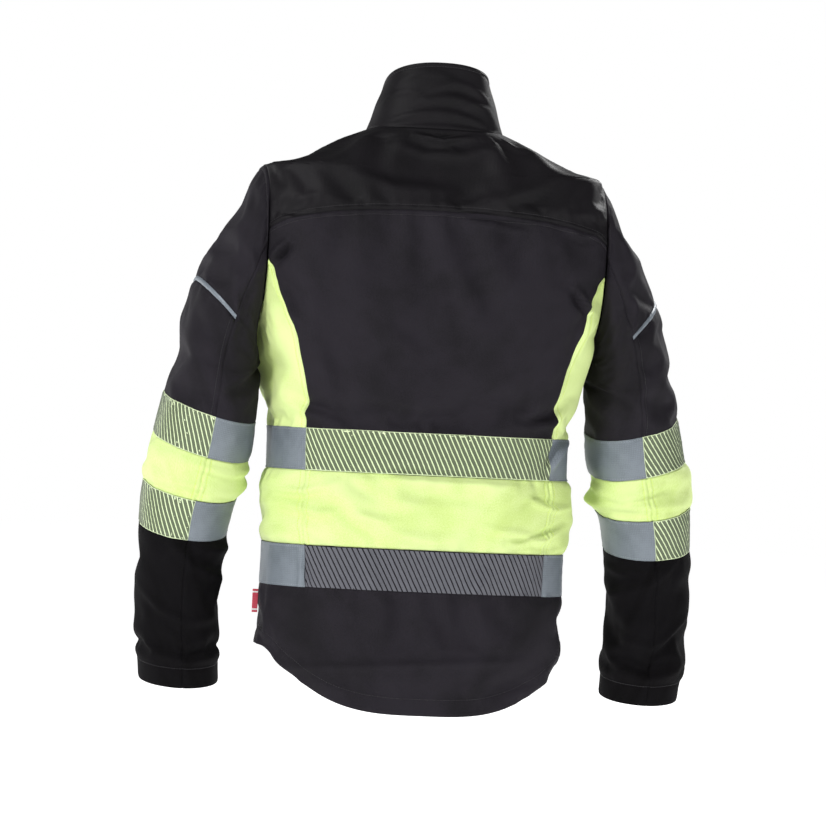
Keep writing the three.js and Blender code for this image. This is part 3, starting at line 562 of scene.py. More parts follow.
def body_hold(u, v, surface):
    spot = surface.read(surface.base, u, v)
    reach = np.abs(spot[..., 0])
    tapes = band(v, upper_tape - 2, upper_tape + tape_width + 2, 3)
    tapes += band(v, lower_tape - 2, lower_tape + tape_width + 2, 3)
    edges = np.exp(-(v / 12) ** 2) + np.exp(-((np.abs(np.abs(u) - half) * 110) / 10) ** 2)
    edges += np.exp(-((reach - armhole_x) / 6) ** 2) * (v < armhole_drop + 8) * (v > shoulder_drop - 8)
    yoke = yoke_drop + yoke_end_drop * np.abs(u / quarter) ** 3
    seams = 0.8 * np.exp(-((v - yoke) / 6) ** 2) * (np.cos(u) > 0)
    low = smooth(600, 625, v) * (np.cos(u) < 0.2) + smooth(side_hem + 40, side_hem + 70, v)
    return 0.04 + 0.6 * tapes + edges + seams + low


def sleeve_hold(u, v, surface):
    tapes = band(v, sleeve_upper_tape, upper_end, 3) + band(v, sleeve_lower_tape, lower_end, 3)
    edges = np.exp(-(v / 10) ** 2) + smooth(cuff_drop - 30, cuff_drop - 20, v)
    edges += np.exp(-((u + quarter) / 0.16) ** 2) + np.exp(-((u - 3 * quarter) / 0.16) ** 2)
    piping = 0.7 * np.exp(-((v - piping_drop - 3) / 8) ** 2) * (np.cos(u) > 0)
    spot = surface.read(surface.base, u, v)
    beside_body = (spot[..., 2] > -armhole_drop - 30) & (np.cos(u) < -0.3)
    return 0.04 + 0.6 * tapes + edges + piping + beside_body


let_settle(body, 241, 150, body_hold, 0.036, 6.5)
for sleeve in sleeves.values():
    let_settle(sleeve, 101, 150, sleeve_hold, 0.032, 4.5)

# %% A flat seat for each pocket zip
beside_seam = (np.abs(body.u) - side_turn(body.vs, True)) * front_radius
flat_seat = np.exp(-(beside_seam / 15) ** 4) * band(body.v, pocket_top - 8, pocket_bottom + 8, 10)
body.lift *= 1 - flat_seat
body.settle()
print("pocket zips lie on the drawn surface")


# %% [markdown]
# ## What it is made of
# Softshell is a knitted polyester face bonded to a thin film and a fleece back. Its face is matt, with a
# fine even grain and a faint bloom of fibre ends that catches light at grazing angles. Fluorescent cloth
# is the same knit in a dye that looks lit from inside. Reflective tape is a film of tiny glass beads: grey,
# slightly grainy and a little shinier than cloth. Each finish is a small set of nodes over the piece's own
# cloth coordinates, which are in metres, so every pattern has its real size on every piece.

# %% Helpers for finishes
def colour(code, alpha=1.0):
    """An sRGB hex value as the linear colour that the shader works in."""
    parts = [int(code[k:k + 2], 16) / 255 for k in (1, 3, 5)]
    return (*[c / 12.92 if c <= 0.04045 else ((c + 0.055) / 1.055) ** 2.4 for c in parts], alpha)


def add(tree, kind, inputs=(), **settings):
    """Adds a node, makes its settings, and fills its inputs with values or with other nodes' sockets."""
    made = tree.nodes.new(kind)
    for key, value in settings.items():
        setattr(made, key, value)
    for key, value in dict(inputs).items():
        if isinstance(value, bpy.types.NodeSocket):
            tree.links.new(value, made.inputs[key])
        else:
            made.inputs[key].default_value = value
    return made


finishes = {}


def finish(name, shades, blotch, grain, weave, bump, **shader):
    """A woven, knitted or coated finish. Sizes are in metres: blotches, grain, and the weave's pitch."""
    made = bpy.data.materials.new(name)
    made.use_nodes = True
    tree = made.node_tree
    tree.nodes.clear()
    place = add(tree, "ShaderNodeTexCoord").outputs["UV"]
    slow = add(tree, "ShaderNodeTexNoise", {"Vector": place, "Scale": 1 / blotch, "Detail": 3.0, "Roughness": 0.6})
    fine = add(tree, "ShaderNodeTexNoise", {"Vector": place, "Scale": 1 / grain, "Detail": 2.0, "Roughness": 0.55})
    ribs = add(tree, "ShaderNodeTexWave", {"Vector": place, "Scale": 0.314 / weave, "Distortion": 0.6,
                                           "Detail": 1.0, "Detail Scale": 2.0}, bands_direction="X")
    rows = add(tree, "ShaderNodeTexWave", {"Vector": place, "Scale": 0.314 / weave, "Distortion": 0.6,
                                           "Detail": 1.0, "Detail Scale": 2.0}, bands_direction="Y")
    knit = add(tree, "ShaderNodeMath", {0: ribs.outputs["Fac"], 1: rows.outputs["Fac"]}, operation="MULTIPLY")
    mixed = add(tree, "ShaderNodeMath", {0: fine.outputs["Fac"], 1: 0.65, 2: slow.outputs["Fac"]},
                operation="MULTIPLY_ADD")
    tone = add(tree, "ShaderNodeMath", {0: knit.outputs[0], 1: 0.22, 2: mixed.outputs[0]}, operation="MULTIPLY_ADD")
    ramp = add(tree, "ShaderNodeValToRGB", {"Fac": tone.outputs[0]})
    stops = ramp.color_ramp.elements
    stops[0].position, stops[0].color = 0.5, colour(shades[0])
    stops[1].position, stops[1].color = 1.15 if len(shades) == 2 else 0.9, colour(shades[-1])
    if len(shades) == 3:
        middle = stops.new(0.75)
        middle.color = colour(shades[1])
    height = add(tree, "ShaderNodeMath", {0: knit.outputs[0], 1: 0.6, 2: fine.outputs["Fac"]},
                 operation="MULTIPLY_ADD")
    relief = add(tree, "ShaderNodeBump", {"Height": height.outputs[0], "Strength": bump, "Distance": grain * 0.35})
    rough = add(tree, "ShaderNodeMapRange", {"Value": fine.outputs["Fac"], "From Min": 0.3, "From Max": 0.7,
                                             "To Min": shader["rough"] - 0.06, "To Max": shader["rough"] + 0.06})
    settings = {"Base Color": ramp.outputs["Color"], "Roughness": rough.outputs["Result"],
                "Normal": relief.outputs["Normal"], "IOR": shader.get("ior", 1.5),
                "Metallic": shader.get("metal", 0.0), "Sheen Weight": shader.get("sheen", 0.0),
                "Sheen Roughness": 0.4, "Sheen Tint": colour(shader.get("bloom", "#ffffff")),
                "Specular IOR Level": shader.get("gloss", 0.4)}
    surface = add(tree, "ShaderNodeBsdfPrincipled", settings)
    add(tree, "ShaderNodeOutputMaterial", {"Surface": surface.outputs["BSDF"]})
    made.diffuse_color = colour(shades[0])
    finishes[name] = made
    return made


# %% The finishes
# Knitted face: loops about 0.7 mm apart, drawn as 1.5 mm ones so that they show.
finish("black_softshell", ["#131115", "#18161a", "#211e24"], 0.09, 0.0016, 0.0015, 0.55,
       rough=0.74, sheen=0.02, bloom="#b9b4c4", gloss=0.14)
# The yoke and collar face is a little smoother, so it has a satin gleam. It is also a darker copy of the black
# softshell: painted shade, for the light that falls less on these upper parts.
finish("black_satin_painted_shade", ["#0b0a0c", "#0f0e10", "#161417"], 0.09, 0.0014, 0.0015, 0.4,
       rough=0.56, sheen=0.0, gloss=0.13)
# The lower sleeves get a duller, deeper black: darker shades, rougher, with less gloss.
finish("black_dull_deep", ["#070607", "#0a090a", "#100f11"], 0.08, 0.0014, 0.0013, 0.5,
       rough=0.8, sheen=0.0, gloss=0.05)
finish("yellow_softshell", ["#bfd776", "#cae087", "#d6e89c"], 0.11, 0.0016, 0.0015, 0.5,
       rough=0.72, sheen=0.12, bloom="#fbffe0", gloss=0.3)
# Glass-bead film: beads under 0.1 mm, drawn as a 0.8 mm sparkle over a faint pressed mesh.
finish("pale_yellow_strip", ["#c9dba6", "#d3e3b2", "#dcebbf"], 0.11, 0.0016, 0.0015, 0.4,
       rough=0.7, sheen=0.05, gloss=0.3)
finish("reflective_plain", ["#5a6169", "#676f77", "#767e86"], 0.05, 0.0008, 0.0022, 0.3,
       rough=0.5, metal=0.12, gloss=0.5)
finish("reflective_striped", ["#4a553f", "#535e46", "#5e694f"], 0.05, 0.0008, 0.0022, 0.25,
       rough=0.5, metal=0.1, gloss=0.5)
finish("reflective_striped_dark", ["#494b51", "#53545b", "#5e5f66"], 0.05, 0.0008, 0.0022, 0.25,
       rough=0.5, metal=0.1, gloss=0.5)
# Woven polyester tape and spun thread.
finish("black_zip_tape", ["#17161a", "#1e1c21", "#29272d"], 0.03, 0.0010, 0.0012, 0.6,
       rough=0.8, sheen=0.2, gloss=0.3)
for thread, shades in (("black_thread", ["#0f0e10", "#151317", "#1d1b1f"]),
                       ("yellow_thread", ["#bcd44a", "#c9e056", "#d6ec6c"]),
                       ("grey_thread", ["#70777d", "#7f868d", "#8f969d"])):
    finish(thread, shades, 0.02, 0.0006, 0.0008, 0.4, rough=0.6, sheen=0.2, gloss=0.4)
for ribbon, shades in (("red_tag", ["#a92f42", "#b63a4c", "#c44a5a"]),
                       ("white_tag", ["#d8d5d3", "#e4e1df", "#efecea"])):
    finish(ribbon, shades, 0.02, 0.0007, 0.0007, 0.5, rough=0.65, sheen=0.2, gloss=0.3)


def hard_finish(name, shades, grain, rough, metal, ior=1.45):
    """Painted metal or moulded plastic: it reads Object coordinates, with worn lighter edges."""
    made = bpy.data.materials.new(name)
    made.use_nodes = True
    tree = made.node_tree
    tree.nodes.clear()
    place = add(tree, "ShaderNodeTexCoord").outputs["Object"]
    fine = add(tree, "ShaderNodeTexNoise", {"Vector": place, "Scale": 1 / grain, "Detail": 3.0})
    edge = add(tree, "ShaderNodeNewGeometry")
    wear = add(tree, "ShaderNodeMapRange", {"Value": edge.outputs["Pointiness"], "From Min": 0.52, "From Max": 0.6})
    worn = add(tree, "ShaderNodeMath", {0: wear.outputs["Result"], 1: fine.outputs["Fac"]}, operation="MULTIPLY")
    base = add(tree, "ShaderNodeMix", {"Factor": worn.outputs[0], "A": colour(shades[0]), "B": colour(shades[1])},
               data_type="RGBA")
    relief = add(tree, "ShaderNodeBump", {"Height": fine.outputs["Fac"], "Strength": 0.2, "Distance": grain * 0.2})
    surface = add(tree, "ShaderNodeBsdfPrincipled", {
        "Base Color": base.outputs["Result"], "Roughness": rough, "Metallic": metal, "IOR": ior,
        "Normal": relief.outputs["Normal"]})
    add(tree, "ShaderNodeOutputMaterial", {"Surface": surface.outputs["BSDF"]})
    finishes[name] = made


# Die-cast zinc with a dark electroplated paint, and acetal teeth.
hard_finish("zip_metal", ["#34353a", "#6c6d72"], 0.0012, 0.38, 0.85, 1.5)
hard_finish("zip_teeth", ["#19181b", "#2c2b2f"], 0.0010, 0.42, 0.0, 1.48)
print("finishes:", ", ".join(finishes))


def dress(piece, name):
    piece.data.materials.clear()
    piece.data.materials.append(finishes[name])


# %% [markdown]
# ## Cutting pieces from the surfaces
# Each panel of the real jacket is a piece of cloth about a millimetre and a half thick. A flat mesh with
# a Solidify modifier would do, but the sewn edges matter most: there the cloth dips into the seam, rises
# over the seam allowance and is pressed down again by the row of topstitching. So each piece is a grid
# whose columns crowd near its edges, with an outer and an inner skin and walls between them.

# %% Helpers for pieces
stitch_rows = {}
sheet_sizes = []
outer_skins = {}


def crowded(length, step):
    """Shares along a strip: close together near both ends and even between them."""
    near = np.array([0, 0.5, 1.1, 1.9, 3.0, 4.4, 5.2, 6.0, 6.8, 8.2])
    near = near[near < length * 0.4]
    count = max(2, math.ceil((length - 2 * near[-1]) / step) + 1)
    inner = np.linspace(near[-1], length - near[-1], count)
    return np.concatenate([near[:-1], inner, (length - near[:-1])[::-1]]) / length


def runs(points, axis):
    """Distances along the lines of a grid, and each line's whole length."""
    step = np.linalg.norm(np.diff(points, axis=axis), axis=-1)
    zero = np.zeros_like(np.take(step, [0], axis))
    distance = np.concatenate([zero, np.cumsum(step, axis)], axis)
    return distance, np.take(distance, [-1], axis)


def grid_mesh(name, outer, inner, cloth_u, cloth_v, out, closed=False):
    """A closed skin of two grids with walls between their edges, and its cloth coordinates."""
    columns, rows = outer.shape[:2]
    used = columns - 1 if closed else columns
    points = np.concatenate([outer[:used].reshape(-1, 3), inner[:used].reshape(-1, 3)])
    layer = used * rows
    i, j = np.meshgrid(np.arange(columns - 1), np.arange(rows - 1), indexing="ij")
    i, j = i.ravel(), j.ravel()
    corners = [(i, j), (i + 1, j), (i + 1, j + 1), (i, j + 1)]
    index = lambda a, b: (a % used) * rows + b
    ids = lambda a, b: a * rows + b
    top = np.stack([index(a, b) for a, b in corners], 1)
    top_ids = np.stack([ids(a, b) for a, b in corners], 1)
    faces, marks = [top, (top + layer)[:, ::-1]], [top_ids, top_ids[:, ::-1]]

    def wall(a0, b0, a1, b1):
        faces.append(np.stack([index(a1, b1), index(a0, b0), index(a0, b0) + layer, index(a1, b1) + layer], 1))
        marks.append(np.stack([ids(a1, b1), ids(a0, b0), ids(a0, b0), ids(a1, b1)], 1))

    across, down = np.arange(columns - 1), np.arange(rows - 1)
    wall(across, 0 * across, across + 1, 0 * across)
    wall(across + 1, 0 * across + rows - 1, across, 0 * across + rows - 1)
    if not closed:
        wall(0 * down, down + 1, 0 * down, down)
        wall(0 * down + columns - 1, down, 0 * down + columns - 1, down + 1)
    faces, marks = np.concatenate(faces), np.concatenate(marks)
    a, b = columns // 2, rows // 2
    facing = np.cross(outer[a, b] - outer[a - 1, b], outer[a, b] - outer[a, b - 1]) @ out[a, b]
    if facing < 0:
        faces, marks = faces[:, ::-1], marks[:, ::-1]
    mesh = bpy.data.meshes.new(name)
    mesh.vertices.add(len(points))
    mesh.vertices.foreach_set("co", ((points + neck_seam) * MM).ravel())
    mesh.loops.add(faces.size)
    mesh.loops.foreach_set("vertex_index", faces.ravel().astype(np.int32))
    mesh.polygons.add(len(faces))
    mesh.polygons.foreach_set("loop_start", np.arange(len(faces), dtype=np.int32) * 4)
    mesh.polygons.foreach_set("use_smooth", np.ones(len(faces), dtype=bool))
    mesh.update(calc_edges=True)
    layer_uv = mesh.uv_layers.new(name="cloth")
    flat = np.stack([cloth_u.ravel()[marks.ravel()], cloth_v.ravel()[marks.ravel()]], 1) * MM
    layer_uv.data.foreach_set("uv", flat.ravel())
    arrow = mesh.attributes.new("outward", "FLOAT_VECTOR", "POINT")
    directions = np.concatenate([out[:used].reshape(-1, 3)] * 2)
    arrow.data.foreach_set("vector", directions.ravel())
    piece = bpy.data.objects.new(name, mesh)
    bpy.context.scene.collection.objects.link(piece)
    return piece


def row_at(points, out, distance, at, axis):
    """The line across a grid's lines at one distance along them, with its outward directions."""
    if axis == 0:
        points, out, distance = points.swapaxes(0, 1), out.swapaxes(0, 1), distance.swapaxes(0, 1)
    lines = []
    for p, o, d in zip(points, out, distance):
        mark = min(at, d[-1]) if at >= 0 else max(d[-1] + at, 0)
        lines.append([np.interp(mark, d, part[:, k]) for part in (p, o) for k in range(3)])
    return np.array(lines)


def cloth_piece(name, surface, where, body_name, slot, nodes=(), lift=0.0, thick=1.4, step=3.4,
                sewn=("left", "right", "top", "bottom"), topstitched=(), inset=6.0, dip=0.9,
                closed=False, group=None, own_cloth=False, look=None):
    """Cuts one piece of cloth from a surface; where(p, q) gives the place for two shares."""
    p, q = np.meshgrid(np.linspace(0, 1, 41), np.linspace(0, 1, 41), indexing="ij")
    u, v = where(p, q)
    rough = surface.read(surface.base, u, v)
    width, height = runs(rough, 0)[1].max(), runs(rough, 1)[1].max()
    middle = crowded(width, step) if not closed else np.linspace(0, 1, math.ceil(width / step) + 1)
    p, q = np.meshgrid(middle, crowded(height, step), indexing="ij")
    u, v = where(p, q)
    base = surface.read(surface.base, u, v)
    along, along_all = runs(base, 0)
    fall, fall_all = runs(base, 1)
    gaps = {"left": along, "right": along_all - along, "top": fall, "bottom": fall_all - fall}
    height_now = np.full(u.shape, float(lift))
    for edge in sewn:
        height_now -= dip * np.exp(-((gaps[edge] / 1.3) ** 2))
    for edge in topstitched:
        gap = gaps[edge]
        height_now += 0.45 * band(gap, 1.8, inset - 1.4, 0.8)
        height_now -= 0.4 * np.exp(-(((gap - inset) / 0.8) ** 2))
    outer = surface.at(u, v, height_now)
    out = surface.read(surface.out, u, v)
    out /= np.linalg.norm(out, axis=-1, keepdims=True)
    inner = outer - out * thick
    cloth_u, cloth_v = surface.cloth_uv(u, v)
    if own_cloth:
        cloth_u, cloth_v = p * along_all.mean(), q * fall_all.mean()
    piece = grid_mesh(name, outer, inner, cloth_u, cloth_v, out, closed)
    outer_skins[name] = (outer.shape[0] - 1) * (outer.shape[1] - 1)
    group = group or body_name
    for edge in topstitched:
        axis = 0 if edge in ("left", "right") else 1
        at = inset if edge in ("left", "top") else -inset
        thread = {"yellow_softshell": "yellow_thread", "reflective_plain": "grey_thread"}.get(slot, "black_thread")
        stitch_rows.setdefault((group, thread), []).append(row_at(outer, out, along if axis == 0 else fall, at, axis))
    cell = np.cross(base[1:, 1:] - base[:-1, :-1], base[1:, :-1] - base[:-1, 1:])
    area = float(np.linalg.norm(cell, axis=-1).sum() / 2) * MM * MM
    long_side, short_side = along_all.max() * MM, fall_all.max() * MM
    short_side = max(short_side, area / long_side)
    place_piece(piece, body_name, slot, nodes)
    dress(piece, look or slot)
    if "elbow" in str(group):
        across_elbow(piece, body_name)
    sheet_sizes.append((piece, float(long_side), float(short_side), area))
    return piece


def place_piece(piece, body_name, slot, nodes=()):
    for node_name in nodes:
        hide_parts(node_name)
    dress(piece, slot)
    if body_name in frame["bodies"]:
        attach(piece, body_name)


# %% [markdown]
# ## The elbow
# Cloth has no hinge. At the elbow the upper and the lower sleeve are two bodies. For every piece from
# the upper tape to the lower sleeve, and for its bars and stitches, the places on the arm at the two
# tapes are found but left unused, and the piece's transform is baked into its mesh.

# %% Pieces across the elbow
def arm_axis(side, drop):
    x, y = ring_value(sleeve_rings, drop, 1), ring_value(sleeve_rings, drop, 2)
    x += right_arm_out * (drop / cuff_drop) ** 1.5 if side < 0 else 0
    return Vector((side * x, y, -drop)) * MM + Vector(neck_seam) * MM


def across_elbow(piece, side_name):
    side = 1 if side_name.endswith("left") else -1
    arm_axis(side, 362)
    arm_axis(side, 478)
    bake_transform(piece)


# %% [markdown]
# ## The body's panels
# The back is a yoke, a back panel, a yellow band and a hem panel that dips to a tail. Yellow side panels
# run up to the armholes. The seam between the back and each side is a princess seam, which shapes the
# waist. Each panel's flat size is measured on the unfolded surface.

# %% Places on the body
def levels(top, bottom):
    return lambda p, q: mix(top(p) if callable(top) else top, bottom(p) if callable(bottom) else bottom, q)


def patch(left, right, top, bottom, side=1):
    """A piece between two edges, each giving the turn at a drop."""
    drop_at = levels(top, bottom)

    def where(p, q):
        drop = drop_at(p, q)
        return side * mix(left(drop), right(drop), p), drop
    return where


def back_seam(drop):
    return side_turn(drop, False)


def front_seam(drop):
    return side_turn(drop, True)


def other_back_seam(drop):
    return -side_turn(drop, False)


def side_seam(drop):
    return quarter + 0 * np.asarray(drop, float)


def centre_front(drop):
    return turn_at_x(drop, zip_gap, True)


def yoke_seam(p):
    return yoke_drop + yoke_end_drop * np.abs(2 * p - 1) ** 3


def tail_hem(p):
    return hem_drop(mix(-quarter, quarter, p))


# %% The back
black, yellow = "black_softshell", "yellow_softshell"
torso = dict(surface=body, body_name="jacket_body")
# The yoke wears the darker satin black, whose extra darkness is painted shade.
cloth_piece("back_yoke_cloth", where=patch(other_back_seam, back_seam, 0, yoke_seam), slot=black,
            nodes=["back_yoke"], topstitched=("bottom",), lift=0.5, look="black_satin_painted_shade", **torso)
cloth_piece("back_panel_cloth", where=patch(other_back_seam, back_seam, yoke_seam, upper_tape + tape_width),
            slot=black, nodes=["back_panel"], topstitched=("top",), **torso)
cloth_piece("back_band_cloth", slot=yellow, nodes=["back_mid_band"], topstitched=("left", "right"),
            where=patch(other_back_seam, back_seam, upper_tape + tape_width, lower_tape), **torso)
cloth_piece("back_hem_cloth", slot=black, nodes=["back_hem_panel"], topstitched=("bottom",), inset=20,
            where=patch(lambda d: -side_seam(d), side_seam, lower_tape, tail_hem), sewn=("top", "left", "right"),
            **torso)


# %% The sides and the fronts
def side_panel_place(side):
    def where(p, q):
        s = np.clip(p, 0, 1)
        top_drop = mix(side_panel_drop, armhole_drop - 0.01, np.sin(half * s))
        top_turn = np.where(s < 0.5, turn_at_x(top_drop, armhole_x, False), turn_at_x(top_drop, armhole_x, True))
        bottom_drop = upper_tape + tape_width
        row = mix(side_panel_drop, bottom_drop, q)
        straight = mix(back_seam(row), front_seam(row), s)
        ends = mix(mix(back_seam(side_panel_drop), front_seam(side_panel_drop), s),
                   mix(back_seam(bottom_drop), front_seam(bottom_drop), s), q)
        bottom_turn = mix(back_seam(bottom_drop), front_seam(bottom_drop), s)
        return side * (mix(top_turn, bottom_turn, q) + straight - ends), mix(top_drop, bottom_drop, q)
    return where


for label, side in (("left", 1), ("right", -1)):
    cloth_piece(f"side_panel_cloth_{label}", where=side_panel_place(side), slot=yellow,
                nodes=[f"side_panel_{label}"], topstitched=("left",), **torso)
    cloth_piece(f"chest_cloth_{label}", slot=black, nodes=[f"front_chest_{label}"], topstitched=("right",),
                where=patch(front_seam, centre_front, 0, upper_tape + tape_width, side), **torso)
    cloth_piece(f"side_band_cloth_{label}", slot=yellow, nodes=[f"front_mid_band_{label}"],
                where=patch(back_seam, centre_front, upper_tape + tape_width, lower_tape, side),
                topstitched=("left", "right"), **torso)
    cloth_piece(f"front_hem_cloth_{label}", slot=black, nodes=[f"front_hem_panel_{label}"], inset=20,
                where=patch(side_seam, centre_front, lower_tape, side_hem, side), topstitched=("bottom",),
                sewn=("top", "left"), **torso)
print("panels of the body:", len(sheet_sizes))

# %% [markdown]
# ## Reflective tapes
# The tapes round the body are 50 mm wide, in two rows. Round the sides they are plain silver. Across the
# back and the fronts they are segmented: slanting silver bars pressed on to a strip of cloth, with a
# thin line of it showing between them, so that the tape can stretch. The strip is its own piece here,
# and the bars are laid out flat by Geometry Nodes, then wrapped on to the strip by its cloth coordinates.

# %% The strips under the bars, and the plain tapes
tape_look = dict(lift=0.9, thick=0.7, dip=0.25, topstitched=("top", "bottom"), inset=2.2, own_cloth=True)
strip_look = dict(tape_look, topstitched=())
bar_jobs = []
for row, top in (("upper", upper_tape), ("lower", lower_tape)):
    strip_slot = yellow if row == "upper" else black
    strips = [(f"back_{row}_strip", patch(other_back_seam, back_seam, top, top + tape_width), [f"back_{row}_tape"])]
    for label, side in (("left", 1), ("right", -1)):
        strips.append((f"front_{row}_strip_{label}", patch(front_seam, centre_front, top, top + tape_width, side),
                       [f"front_{row}_tape_{label}"]))
        cloth_piece(f"side_{row}_band_{label}", where=patch(back_seam, front_seam, top, top + tape_width, side),
                    slot="reflective_plain", nodes=[f"side_{row}_tape_{label}"], **torso, **tape_look)
    for name, where, nodes in strips:
        strip = cloth_piece(name, where=where, slot=strip_slot, nodes=nodes, **torso, **strip_look)
        if row == "upper":
            dress(strip, "pale_yellow_strip")
        bar_jobs.append((strip, name.replace("strip", "bars"), row, "jacket_body", nodes))

# %% [markdown]
# ## The sleeves
# Each sleeve is cut in two lengthways, with a seam down the front and the back of the arm. A narrow
# reflective piping crosses the upper arm. A yellow band sits at the elbow between the tapes.

# %% Panels and tapes of the sleeves
def arm(first, last, top, bottom):
    return lambda p, q: (mix(first, last, p), mix(top, bottom, q))


for label, sleeve in sleeves.items():
    upper = dict(surface=sleeve, body_name=f"upper_sleeve_{label}")
    bending = dict(surface=sleeve, body_name=f"elbow_{label}", group=f"elbow_{label}")
    outside, under = (-quarter, quarter), (quarter, 3 * quarter)
    cloth_piece(f"sleeve_cap_cloth_{label}", where=arm(*outside, 0, piping_drop), slot=black,
                nodes=[f"sleeve_cap_{label}"], topstitched=("top",), dip=0.7, **upper)
    cloth_piece(f"piping_cloth_{label}", where=arm(*outside, piping_drop, piping_drop + piping_width),
                slot="reflective_plain", nodes=[f"sleeve_piping_{label}"], lift=1.0, thick=1.8, step=2.5, dip=0.9,
                sewn=("top", "bottom"), **upper)
    cloth_piece(f"sleeve_outer_cloth_{label}", where=arm(*outside, piping_drop + piping_width, upper_end),
                slot=black, nodes=[f"sleeve_outer_{label}"], topstitched=("right",), **bending)
    cloth_piece(f"sleeve_under_cloth_{label}", where=arm(*under, 0, upper_end), slot=black,
                nodes=[f"sleeve_under_{label}"], **bending)
    for part, span in (("outer", outside), ("under", under)):
        cloth_piece(f"elbow_{part}_cloth_{label}", where=arm(*span, upper_end, sleeve_lower_tape), slot=yellow,
                    nodes=[f"elbow_band_{label}"], topstitched=("left", "right"), **bending)
    for part, span in (("outer", outside), ("under", under)):
        cloth_piece(f"lower_sleeve_{part}_cloth_{label}", where=arm(*span, sleeve_lower_tape, cuff_drop),
                    slot=black, nodes=[f"lower_sleeve_{label}"], topstitched=("bottom",), inset=24,
                    sewn=("top", "left", "right"), look="black_dull_deep", **bending)
    for row, top in (("upper", sleeve_upper_tape), ("lower", sleeve_lower_tape)):
        node_name = f"sleeve_{row}_tape_outer_{label}"
        strip = cloth_piece(f"sleeve_{row}_strip_{label}", where=arm(*outside, top, top + sleeve_tape_width),
                            slot=yellow, nodes=[node_name], **bending, **strip_look)
        dress(strip, "pale_yellow_strip")
        bar_jobs.append((strip, f"sleeve_{row}_bars_{label}", row, f"elbow_{label}", [node_name]))
        cloth_piece(f"sleeve_{row}_band_{label}", where=arm(*under, top, top + sleeve_tape_width),
                    slot="reflective_plain", nodes=[f"sleeve_{row}_tape_under_{label}"], **bending, **tape_look)

# %% The collar
# The collar and its lining wear the darker satin black, whose extra darkness is painted shade.
cloth_piece("collar_cloth", surface=collar, body_name="jacket_body", slot=black, nodes=["collar_outer"],
            where=lambda p, q: (mix(-1, 1, p) * (half - 0.09), q), topstitched=("top",),
            inset=5, sewn=("bottom",), dip=0.6, look="black_satin_painted_shade")
cloth_piece("collar_lining_cloth", surface=collar, body_name="jacket_body", slot=black, nodes=["collar_facing"],
            where=lambda p, q: (mix(-1, 1, p) * (half - 0.13), mix(0.01, 1, q)), lift=-2.4, thick=1.0,
            sewn=("top", "bottom"), dip=0.3, look="black_satin_painted_shade")
print("cloth pieces:", len(sheet_sizes))

# %% [markdown]
# ## The underarm ease
# A sleeve that hangs close to the body needs spare cloth to lift, and a real armhole hides it as a fold
# between the body and the sleeve. Here a pleated ring joins the two edges. At rest its pleats lie inside
# the armhole.

# %% The pleated ring in each armhole
def underarm_ease(label, side):
    turn = np.linspace(0, whole, 97)[:-1]
    ring = armhole_point(turn)
    middle = ring.mean(axis=0)
    rows = 25
    share = np.linspace(0, 1, rows)
    # pleats reach further towards the middle at the underarm, where the cloth has to open most
    low = 0.5 - 0.5 * np.cos(turn)
    depth = 0.018 + 0.16 * np.sin(half * share) * (0.75 + 0.25 * np.cos(whole * 6 * share))
    place = np.empty((rows, len(turn), 3))
    for k, (s, d) in enumerate(zip(share, depth)):
        inward = d * mix(0.35, 1.0, low)[:, None]
        place[k] = mix(ring, middle, inward)
        place[k, :, 0] = armhole_x + 0.02 + 0.36 * s
    place[..., 0] *= side
    outer = place.swapaxes(0, 1)
    outer = np.concatenate([outer, outer[:1]])
    towards = middle * [side, 1, 1] - outer
    towards[..., 0] = 0
    towards /= np.linalg.norm(towards, axis=-1, keepdims=True)
    cloth_u = np.repeat((np.linspace(0, 1, len(outer)) * 620)[:, None], rows, 1)
    cloth_v = np.repeat((share * 120)[None, :], len(outer), 0)
    piece = grid_mesh(f"underarm_ease_{label}", outer, outer + towards * 0.8, cloth_u, cloth_v, -towards, True)
    dress(piece, black)
    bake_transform(piece)
    return piece


for label, side in (("left", 1), ("right", -1)):
    underarm_ease(label, side)

# %% [markdown]
# ## Bars, stitches and teeth
# These repeat hundreds of times, so Geometry Nodes make them. Bars are laid out flat in cloth coordinates,
# and Sample UV Surface finds where each of their points is on the folded strip. Stitches and zip teeth
# follow curves: the curve is resampled at the real pitch, and a small shape is set on each point.

# %% Small shapes that repeat
def small_shape(name, rings, sides=6):
    """A closed bead along X: each ring is (place, half width, half height)."""
    points, faces = [], []
    for place, wide, tall in rings:
        for k in range(sides):
            a = whole * k / sides
            points.append((place * MM, wide * math.cos(a) * MM, tall * math.sin(a) * MM))
    for r in range(len(rings) - 1):
        for k in range(sides):
            a, b = r * sides + k, r * sides + (k + 1) % sides
            faces.append((a, b, b + sides, a + sides))
    faces.append(tuple(range(sides))[::-1])
    faces.append(tuple(range((len(rings) - 1) * sides, len(rings) * sides)))
    mesh = bpy.data.meshes.new(name)
    mesh.from_pydata(points, [], faces)
    for face in mesh.polygons:
        face.use_smooth = True
    made = bpy.data.objects.new(name, mesh)
    return made


def bead(name, end, body_ring_size):
    """A small shape with the same two rings at both ends."""
    return small_shape(name, [(-end[0], *end[1:]), (-body_ring_size[0], *body_ring_size[1:]), body_ring_size, end])


stitch_bead = bead("stitch_bead", (1.15, 0.1, 0.08), (0.8, 0.34, 0.26))
tooth = bead("zip_tooth", (0.62, 1.6, 0.6), (0.45, 1.95, 0.95))


